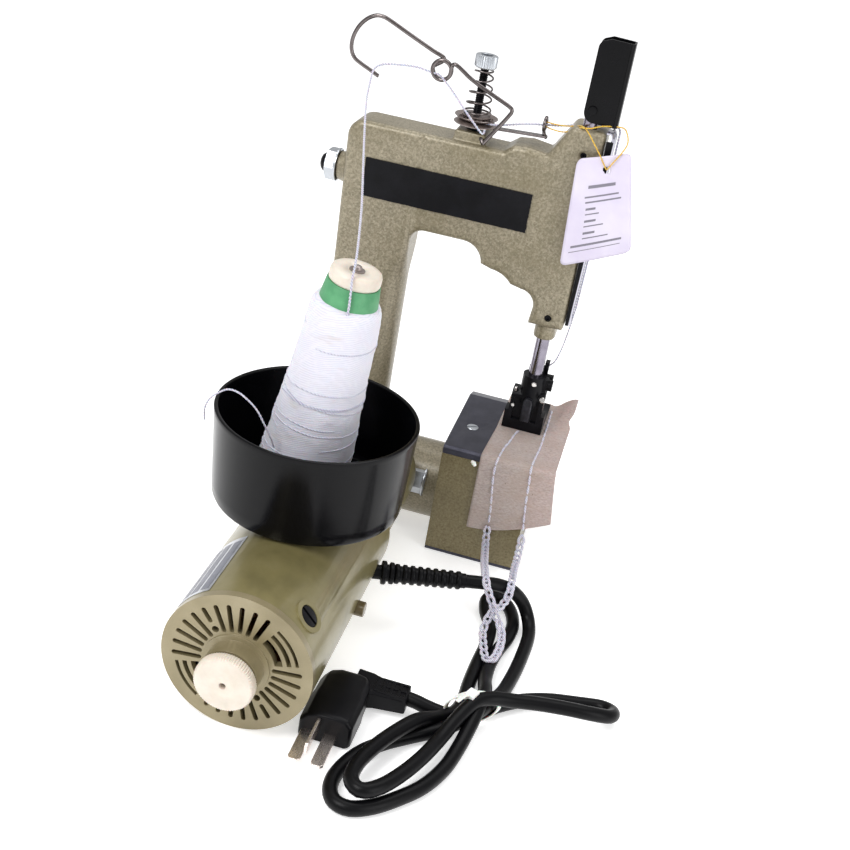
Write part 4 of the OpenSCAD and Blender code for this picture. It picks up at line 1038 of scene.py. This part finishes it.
cup_profile = [(0, 75.6), (40, 75.6), (46.6, 75.9), (48.3, 76.6), (49.0, 78.2), (49.4, 84), (51.4, 122.4), (51.7, 124.1), (51.5, 124.8), (51.0, 125.1),
               (50.2, 125.1), (49.6, 124.8), (49.3, 124.1), (47.2, 84), (46.7, 80.4), (45.3, 78.7), (43, 78.1), (12, 78.1), (11.4, 78.5), (7, 78.5), (6.4, 78.1), (0, 78.1)]
add("thread_bowl", lathe(cup_profile, 144, (-91, -155, 0)), black_gloss, replaces="thread_cup")
add("bowl_nut", [lathe([(0, 78.2), (5.2, 78.2), (5.5, 78.5), (5.5, 80.1), (5.1, 80.5), (0, 80.5)], 6, (-91, -155, 0)),
                 lathe([(3, 73), (3, 80.2), (0, 80.5)], 24, (-91, -155, 0))], dull_steel, replaces="cone_spindle")
lean_axis = Vector((math.sin(math.radians(7)), 0, math.cos(math.radians(7))))
foot = Vector((-96.5, -155, 81.2))


def cone_skin(rows, sides=120, rough=0.0, seed=0):
    """Rows of (radius, height along the cone's axis), with soft unevenness."""
    verts, faces = lathe(rows, sides, foot, lean_axis)
    if rough:
        out = []
        for v in verts:
            q = Vector(v)
            h = (q - foot).dot(lean_axis)
            radial = (q - foot - lean_axis * h)
            if radial.length > 1:
                turn = math.atan2(radial.y, radial.x)
                wave = noise.noise(Vector((math.cos(turn) * 2.2, math.sin(turn) * 2.2, h * 0.09 + seed))) \
                    + 0.5 * noise.noise(Vector((math.cos(turn) * 5, math.sin(turn) * 5, h * 0.5 + seed)))
                q += radial.normalized() * rough * wave
            out.append(tuple(q))
        verts = out
    return verts, faces


yarn_rows = [(13, 0.6), (21, 0.4), (23.6, 1.4), (24.6, 3.6)]
for i in range(61):
    h = 5 + 98 * i / 60
    yarn_rows.append((24.5 - 7.0 * (h - 5) / 98 - 0.5 * math.sin(math.pi * (h - 5) / 98), h))
yarn_rows += [(17.1, 104.6), (16.2, 106.2), (14.6, 107.2), (13.4, 107.6)]
add("yarn_body", cone_skin(yarn_rows, 144, 0.55, 3), yarn_wound, replaces="thread_cone", sharp=70)
# The band round the foot of the cone, drawn in the darker copy of the yarn.
band_rows = [(r + 0.12, h) for r, h in yarn_rows if 3 < h < 17]
add("yarn_band", cone_skin(band_rows, 144, 0.55, 3), yarn_band, sharp=70)
add("cone_paper", cone_skin([(14.9, 103), (14.7, 106), (13.15, 116.8), (12.9, 117.1), (12.3, 117.1)], 72), green_paper, sharp=40)

strands = []
random.seed(7)
for k in range(9):
    h0, turns, rise = random.uniform(6, 92), random.uniform(0.5, 1.6), random.uniform(5, 16) * random.choice((1, -1))
    a0 = random.uniform(0, 2 * math.pi)
    line = []
    count = int(turns * 40)
    for i in range(count + 1):
        t = i / count
        h = min(max(h0 + rise * t, 4.5), 103)
        a = a0 + 2 * math.pi * turns * t
        r = 24.5 - 7.0 * (h - 5) / 98 - 0.5 * math.sin(math.pi * (h - 5) / 98)
        radial = Vector((math.cos(a), math.sin(a), 0))
        wave = noise.noise(Vector((math.cos(a) * 2.2, math.sin(a) * 2.2, h * 0.09 + 3))) + 0.5 * noise.noise(Vector((math.cos(a) * 5, math.sin(a) * 5, h * 0.5 + 3)))
        turn = Vector((0, 0, 1)).rotation_difference(lean_axis)
        line.append(foot + lean_axis * h + (turn @ radial) * (r + 0.55 * wave + 0.28 * math.sin(math.pi * t) ** 0.3 - 0.1))
    strands.append(tube(line, 0.32, 6))
add("yarn_strands", strands, yarn, sharp=60)
cap = [(0, 116), (11.8, 116), (12.1, 117.2), (12.5, 117.5), (12.75, 118.6), (12.7, 121.6), (12.3, 122.9), (11.4, 123.5), (9, 123.7), (5.2, 123.5), (4.8, 123.0),
       (3.4, 122.9), (3.1, 123.1), (2.7, 123.1), (2.5, 122.0), (0, 122)]
add("cone_top", lathe(cap, 72, foot, lean_axis), cream, replaces="cone_cap", sharp=50)
add("spindle_tip", [lathe([(0, 120), (2.2, 120), (2.2, 124.4), (1.8, 125.2), (1.0, 125.6), (0, 125.6)], 28, foot, lean_axis),
                    lathe([(2.6, 122.2), (3.9, 122.4), (3.9, 123.4), (2.6, 123.6)], 28, foot, lean_axis)], dull_steel)

# ---- thread guide and tension ---------------------------------------------------------------------

guide = [(-55, -16.4, 237.8), (-53.4, -16.2, 240.4), (-49, -15.4, 247.2), (-43.6, -14.4, 255.9), (-42.9, -14.2, 258.4), (-45, -14, 260.3), (-56, -14, 264.9),
         (-67.5, -14.4, 270.2), (-73, -15, 273.8), (-76.6, -15.2, 276.0), (-78.6, -15.0, 276.2), (-79.4, -14.6, 274.6)]
guide += [(-84.8 + 5.2 * math.cos(math.radians(30 - 20 * i)), -14.6 + i * 0.052, 271.6 + 5.2 * math.sin(math.radians(30 - 20 * i))) for i in range(1, 48)]
guide += [(-84.6, -12.4, 277.4), (-92, -13, 280.8), (-104, -13.8, 286.0), (-117, -14, 291.6), (-121.5, -14, 292.9), (-125.4, -14, 292.6), (-130, -14, 289.9), (-134, -14, 285),
          (-136.4, -14, 278.6), (-136.4, -14, 272.6), (-134.2, -14, 268.4), (-130, -14, 265.9), (-124.6, -14, 263.6), (-119.6, -14, 261.3)]
add("guide_wire", [tube(guide, 1.12, 14, 1.0), lathe([(1.12, 0), (0.9, 0.5), (0, 0.75)], 14, guide[-1], (0.9, 0, -0.42)),
                   tube([(-55, -16.4, 237.8), (-56.4, -15.2, 239.4), (-58.6, -12, 241.2), (-60.4, -8.6, 242.6), (-63, -6.4, 243.2)], 1.12, 14, 1.0)],
    dark_nickel, replaces="wire_guide", sharp=50)


def coil(r0, r1, z0, z1, turns, wire, steps=28, at=(-63, -5), flat=0.75):
    line = []
    for i in range(int(turns * steps) + 1):
        t = i / (turns * steps)
        k = min(max((t * turns - flat) / (turns - 2 * flat), 0), 1)
        a = 2 * math.pi * turns * t
        r = r0 + (r1 - r0) * t
        line.append((at[0] + r * math.cos(a), at[1] + r * math.sin(a), z0 + wire * 1.1 * min(t * turns, flat) + (z1 - z0 - wire * 2.2 * flat) * k + wire * 1.1 * max(t * turns - turns + flat, 0)))
    return tube(line, wire, 10)


check_spring = add("check_spring", coil(7.7, 4.6, 251.2, 274.8, 5.4, 0.55), dark_nickel, replaces="tension_spring", sharp=60)
presser_coil = add("presser_coil", coil(5.0, 5.0, 200.8, 248.2, 10, 0.55, 24, (0, -10)), dark_nickel, replaces="presser_spring", sharp=60)
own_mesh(check_spring)
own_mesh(presser_coil)
stud_rows = [(0, 232), (2.4, 232), (2.4, 250)]
for i in range(30):
    z = 250.4 + i * 0.98
    stud_rows += [(2.45, z), (2.1, z + 0.45)]
stud_rows += [(2.3, 279.6), (1.9, 280), (0, 280)]
add("tension_post", [lathe(stud_rows, 32, (-63, -5, 0)), lathe([(2.5, 242), (4.4, 242), (3.6, 244.8), (2.5, 244.8)], 32, (-63, -5, 0))],
    black_oxide, replaces="tension_stud", sharp=50)
nut_rows = [(3.4, 276, 0), (5.5, 276, 0), (6.1, 276.5, 0.7), (6.25, 277, 1), (6.25, 282.2, 1), (6.0, 282.8, 0.7), (5.3, 283, 0), (3.7, 283, 0), (3.4, 282.7, 0), (3.35, 280.6, 0), (2.6, 280.6, 0), (2.6, 276, 0)]
add("thumb_nut", toothed((-63, -5, 0), (0, 0, 1), nut_rows, 30, 0.45, 6), zinc, "nut_body", "tension_nut", sharp=40)
disc_low = [(2.6, 246.2), (6, 246.3), (8.4, 246.5), (10.4, 246.0), (12.0, 245.0), (12.2, 245.1), (12.1, 245.5), (10.5, 246.6), (8.4, 247.1), (2.6, 246.9)]
disc_high = [(2.6, 247.0), (8.4, 247.2), (10.5, 247.8), (12.0, 248.9), (12.2, 249.0), (12.1, 249.3), (10.3, 248.5), (8.3, 247.9), (2.6, 247.7)]
washer = [(2.6, 249.2), (7.6, 249.2), (8.1, 249.5), (8.1, 250), (7.6, 250.3), (2.6, 250.3)]
star = []
for i in range(24):
    a = 2 * math.pi * i / 24
    star.append(moved(block((7.4, 9.4 if i % 2 else 8.6), (-0.6, 0.6), (248.4, 249.1)), Matrix.Translation((-63, -5, 0)) @ Matrix.Rotation(a, 4, "Z")))
add("tension_plates", [lathe(disc_low, 72, (-63, -5, 0)), lathe(disc_high, 72, (-63, -5, 0)), lathe(washer, 48, (-63, -5, 0)),
                       lathe([(2.6, 247.7), (5, 247.7), (5, 249.2), (2.6, 249.2)], 32, (-63, -5, 0))] + star,
    dull_steel, replaces="tension_discs", sharp=35)
eye = [moved(block((-58.5, -22.2), (-7.4, -2.6), (243.8, 245)), turned("Y", -3.2, (-58, -5, 242.6))),
       tube([(-24.6 + 0.0 * i, -5 + 3.6 * math.cos(2 * math.pi * i / 32), 253 + 3.6 * math.sin(2 * math.pi * i / 32)) for i in range(33)], 1.0, 12),
       tube([(-24.6, -5, 249.4), (-24.2, -5, 247.6), (-23.2, -5, 246.2), (-22.2, -5, 245.6)], 1.0, 12, 0.6)]
bevel(add("eyelet_arm", eye, dark_nickel, replaces="eyelet_bracket"), 0.3, 2, 50)

# ---- plate, tag, paper -----------------------------------------------------------------------------

random.seed(11)
plate_line = []
for x in np.linspace(-118.4, -21.7, 60):
    plate_line.append((x, 194.6 + random.uniform(0, 0.18)))
for z in np.linspace(194.9, 216.9, 20):
    plate_line.append((-21.8 + random.uniform(-0.35, 0.1), z))
for x in np.linspace(-21.9, -118.3, 60):
    plate_line.append((x, 217 - random.uniform(0, 0.15)))
for z in np.linspace(216.8, 194.9, 20):
    plate_line.append((-118.4 + random.uniform(-0.1, 0.25), z))
add("blank_plate", prism(plate_line, -19.75, -18.9), black_plate, replaces="name_plate")


tag_corners = Vector((-1.8, 0, 243.4)), Vector((25.6, 0, 252.6)), Vector((37.8, 0, 199.5)), Vector((1.2, 0, 182.2))


def card_grid():
    """The tag's outline as a bilinear patch with round corners, and a slight curl."""
    a, b, c, d = tag_corners
    n, m = 24, 36
    verts, keep, faces = [], {}, []
    for j in range(m + 1):
        for i in range(n + 1):
            u, v = i / n, j / m
            cu, cv = min(u, 1 - u), min(v, 1 - v)
            ru, rv = 0.1, 0.06
            if cu < ru and cv < rv:
                x, y = 1 - cu / ru, 1 - cv / rv
                h = math.hypot(x, y)
                if h > 1e-6:
                    k = max(x, y) / h
                    x, y = x * k, y * k
                u = ru * (1 - x) if u < 0.5 else 1 - ru * (1 - x)
                v = rv * (1 - y) if v < 0.5 else 1 - rv * (1 - y)
            p = (a.lerp(b, u)).lerp(d.lerp(c, u), v)
            p.y = -24.6 - 0.8 * math.sin(math.pi * u) - 0.5 * math.sin(math.pi * v)
            verts.append(tuple(p))
    hole = Vector((14.8, 0, 241.2))
    for j in range(m):
        for i in range(n):
            q = [j * (n + 1) + i, j * (n + 1) + i + 1, (j + 1) * (n + 1) + i + 1, (j + 1) * (n + 1) + i]
            mid = sum((Vector(verts[k]) for k in q), Vector()) / 4
            if math.hypot(mid.x - hole.x, mid.z - hole.z) > 1.55:
                faces.append(tuple(q))
    for k, v in enumerate(verts):
        w = Vector((v[0] - hole.x, v[2] - hole.z))
        if 0 < w.length < 2.6:
            w2 = w.normalized() * max(w.length, 1.75)
            verts[k] = (hole.x + w2.x, v[1], hole.z + w2.y)
    return verts, faces


tag = add("card_tag", card_grid(), card_look, replaces="hang_tag")
thick = tag.modifiers.new("thickness", "SOLIDIFY")
thick.thickness, thick.offset = 0.45 * MM, 0
bars = []
for u0, u1, v, h in ((0.28, 0.74, 0.275, 0.03), (0.24, 0.8, 0.37, 0.016), (0.26, 0.84, 0.42, 0.016), (0.28, 0.44, 0.485, 0.022), (0.28, 0.5, 0.535, 0.012),
                     (0.28, 0.46, 0.6, 0.022), (0.28, 0.58, 0.65, 0.012), (0.28, 0.46, 0.715, 0.022), (0.28, 0.66, 0.765, 0.012), (0.12, 0.86, 0.83, 0.022), (0.1, 0.84, 0.88, 0.008)):
    a, b, c, d = tag_corners
    quad = []
    pieces = 6
    for k in range(pieces + 1):
        for vv in (v - h / 2, v + h / 2):
            u = u0 + (u1 - u0) * k / pieces
            p = a.lerp(b, u).lerp(d.lerp(c, u), vv)
            p.y = -24.6 - 0.8 * math.sin(math.pi * u) - 0.5 * math.sin(math.pi * vv) - 0.27
            quad.append(tuple(p))
    bars.append((quad, [(2 * k, 2 * k + 2, 2 * k + 3, 2 * k + 1) for k in range(pieces)]))
add("tag_bars", bars, ink)


def strip_point(u, s):
    """u runs across the paper from left to right, s along it from its back edge, in millimetres."""
    top, bend = 86.0, 4.4
    across = -15.2 + 42.4 * u
    if s < top:
        y = 30.5 - s
        z = 72.0
        f = min(max((across - 12.5) / 14, 0), 1)
        g = min(max((y - 6) / 24, 0), 1)
        z += 7.6 * f * f * (3 - 2 * f) * g * g * (3 - 2 * g)
        z -= 0.0 if y < 20 else 1.4 * math.exp(-((across - 15) / 2.2) ** 2) * g * (0 if y < 29.5 else 1)
        across -= 1.9 * u * math.exp(-((y - 11) / 5) ** 2) * (u > 0.8)
        across -= (1 - u) * 1.6 * min(max((-20 - y) / 36, 0), 1)
        return Vector((across, y, z))
    if s < top + bend:
        a = (s - top) / bend * math.pi / 2
        r = bend / (math.pi / 2)
        across -= (1 - u) * 1.6
        return Vector((across + 0.5 * u * math.sin(a), -55.5 - r * math.sin(a), 72.0 - r + r * math.cos(a)))
    d = s - top - bend
    y = -58.5 - 0.55 * math.sin(math.pi * min(d / 40, 1)) + 0.5 * math.sin(5 * u + d * 0.11) * min(d / 12, 1)
    across += -(1 - u) * 1.6 + 0.5 * u + u ** 2 * 3.6 * (d / 30)
    return Vector((across, min(y, -58.1) - 1.2 * u ** 3 * (d / 40), 72.0 - 2.8 - d))


strip = []
n_across, n_along = 34, 96
for j in range(n_along + 1):
    for i in range(n_across + 1):
        u = i / n_across
        foot_z = 23.6 + 16.2 * u ** 1.6 - 1.2 * math.sin(3 * u)
        total = 86 + 4.4 + (69.2 - foot_z)
        p = strip_point(u, total * j / n_along)
        p += Vector((0, 0, 1)) * 0
        strip.append(tuple(p))
strip_faces = [(j * (n_across + 1) + i, j * (n_across + 1) + i + 1, (j + 1) * (n_across + 1) + i + 1, (j + 1) * (n_across + 1) + i)
               for j in range(n_along) for i in range(n_across)]
paper = add("paper_sheet", (strip, strip_faces), paper_look, replaces="paper_strip", sharp=80)
thick = paper.modifiers.new("thickness", "SOLIDIFY")
thick.thickness, thick.offset = 0.3 * MM, 0


add("paper_scrap", tube([(-21.4, -57.6, 66.2), (-19.9, -58.6, 65.8), (-18.9, -58.6, 64.4)], lambda t: 0.9 + 0.5 * math.sin(3 * t), 8), white_nylon, sharp=60)


def seam(points, pitch, radius):
    """Chain stitches lying on the paper: short plump bars whose ends dip into it."""
    line = resample(points, 0.4)
    per = int(pitch / 0.4)
    parts = []
    for start in range(0, len(line) - per // 2, per):
        piece = line[start:start + per - 1]
        if len(piece) < 5:
            continue
        out = []
        for i, q in enumerate(piece):
            f = i / (len(piece) - 1)
            flat = Vector((0, 0, 1)) if q.z > 71 else Vector((0, -1, 0))
            out.append(q + flat * (0.55 * math.sin(math.pi * f) ** 0.5 - 0.35))
        parts.append(tube(out, lambda t: radius * (0.55 + 0.45 * math.sin(math.pi * min(max(t, 0), 1)) ** 0.5), 8))
    return parts


left_seam = [(-1.8, -17.5, 72.3), (-3.1, -22, 72.3), (-4.5, -34.8, 72.3), (-5.8, -42.5, 72.3), (-6.6, -53.5, 72.3), (-7.0, -57, 71.4), (-7.3, -58.9, 68.6), (-7.3, -59.4, 61.9),
             (-5.9, -59.5, 48.5), (-4.6, -59.3, 36.6), (-4.3, -59.3, 27)]
right_seam = [(12.8, 21, 72.3), (13.2, 8, 72.3), (13.6, -12, 72.3), (13.9, -31.2, 72.3), (13.3, -45, 72.3), (13.0, -54, 72.3), (13.0, -57.4, 71.2), (13.2, -58.9, 68.6), (13.8, -59.4, 62),
              (14.4, -59.5, 51), (15.6, -59.8, 38.4), (16.4, -60, 31.5)]
add("paper_seams", seam(left_seam, 6.4, 0.72) + seam(right_seam, 6.4, 0.72), chain_yarn, sharp=60)

# ---- the nodes that stay -------------------------------------------------------------------------------

for names, look in (("needle_bar presser_bar", bar_steel), ("needle feed_dog looper connecting_rod crank_disc ball_bearings", bright_steel),
                    ("lower_shaft upper_shaft motor_shaft motor_worm", round_steel), ("worm_wheel", nylon), ("lower_pulley upper_pulley", turned_alloy),
                    ("shaft_bushes", bronze), ("timing_belt", belt_rubber), ("motor_stator motor_rotor", winding_look), ("carbon_brushes", carbon),
                    ("cable_lead cable_hank strain_relief", cable_black)):
    for name in names.split():
        ob = nodes[name]
        ob.data.materials.clear()
        ob.data.materials.append(look)
        ob.data.polygons.foreach_set("use_smooth", [True] * len(ob.data.polygons))
        ob.data.set_sharp_from_angle(angle=math.radians(28))
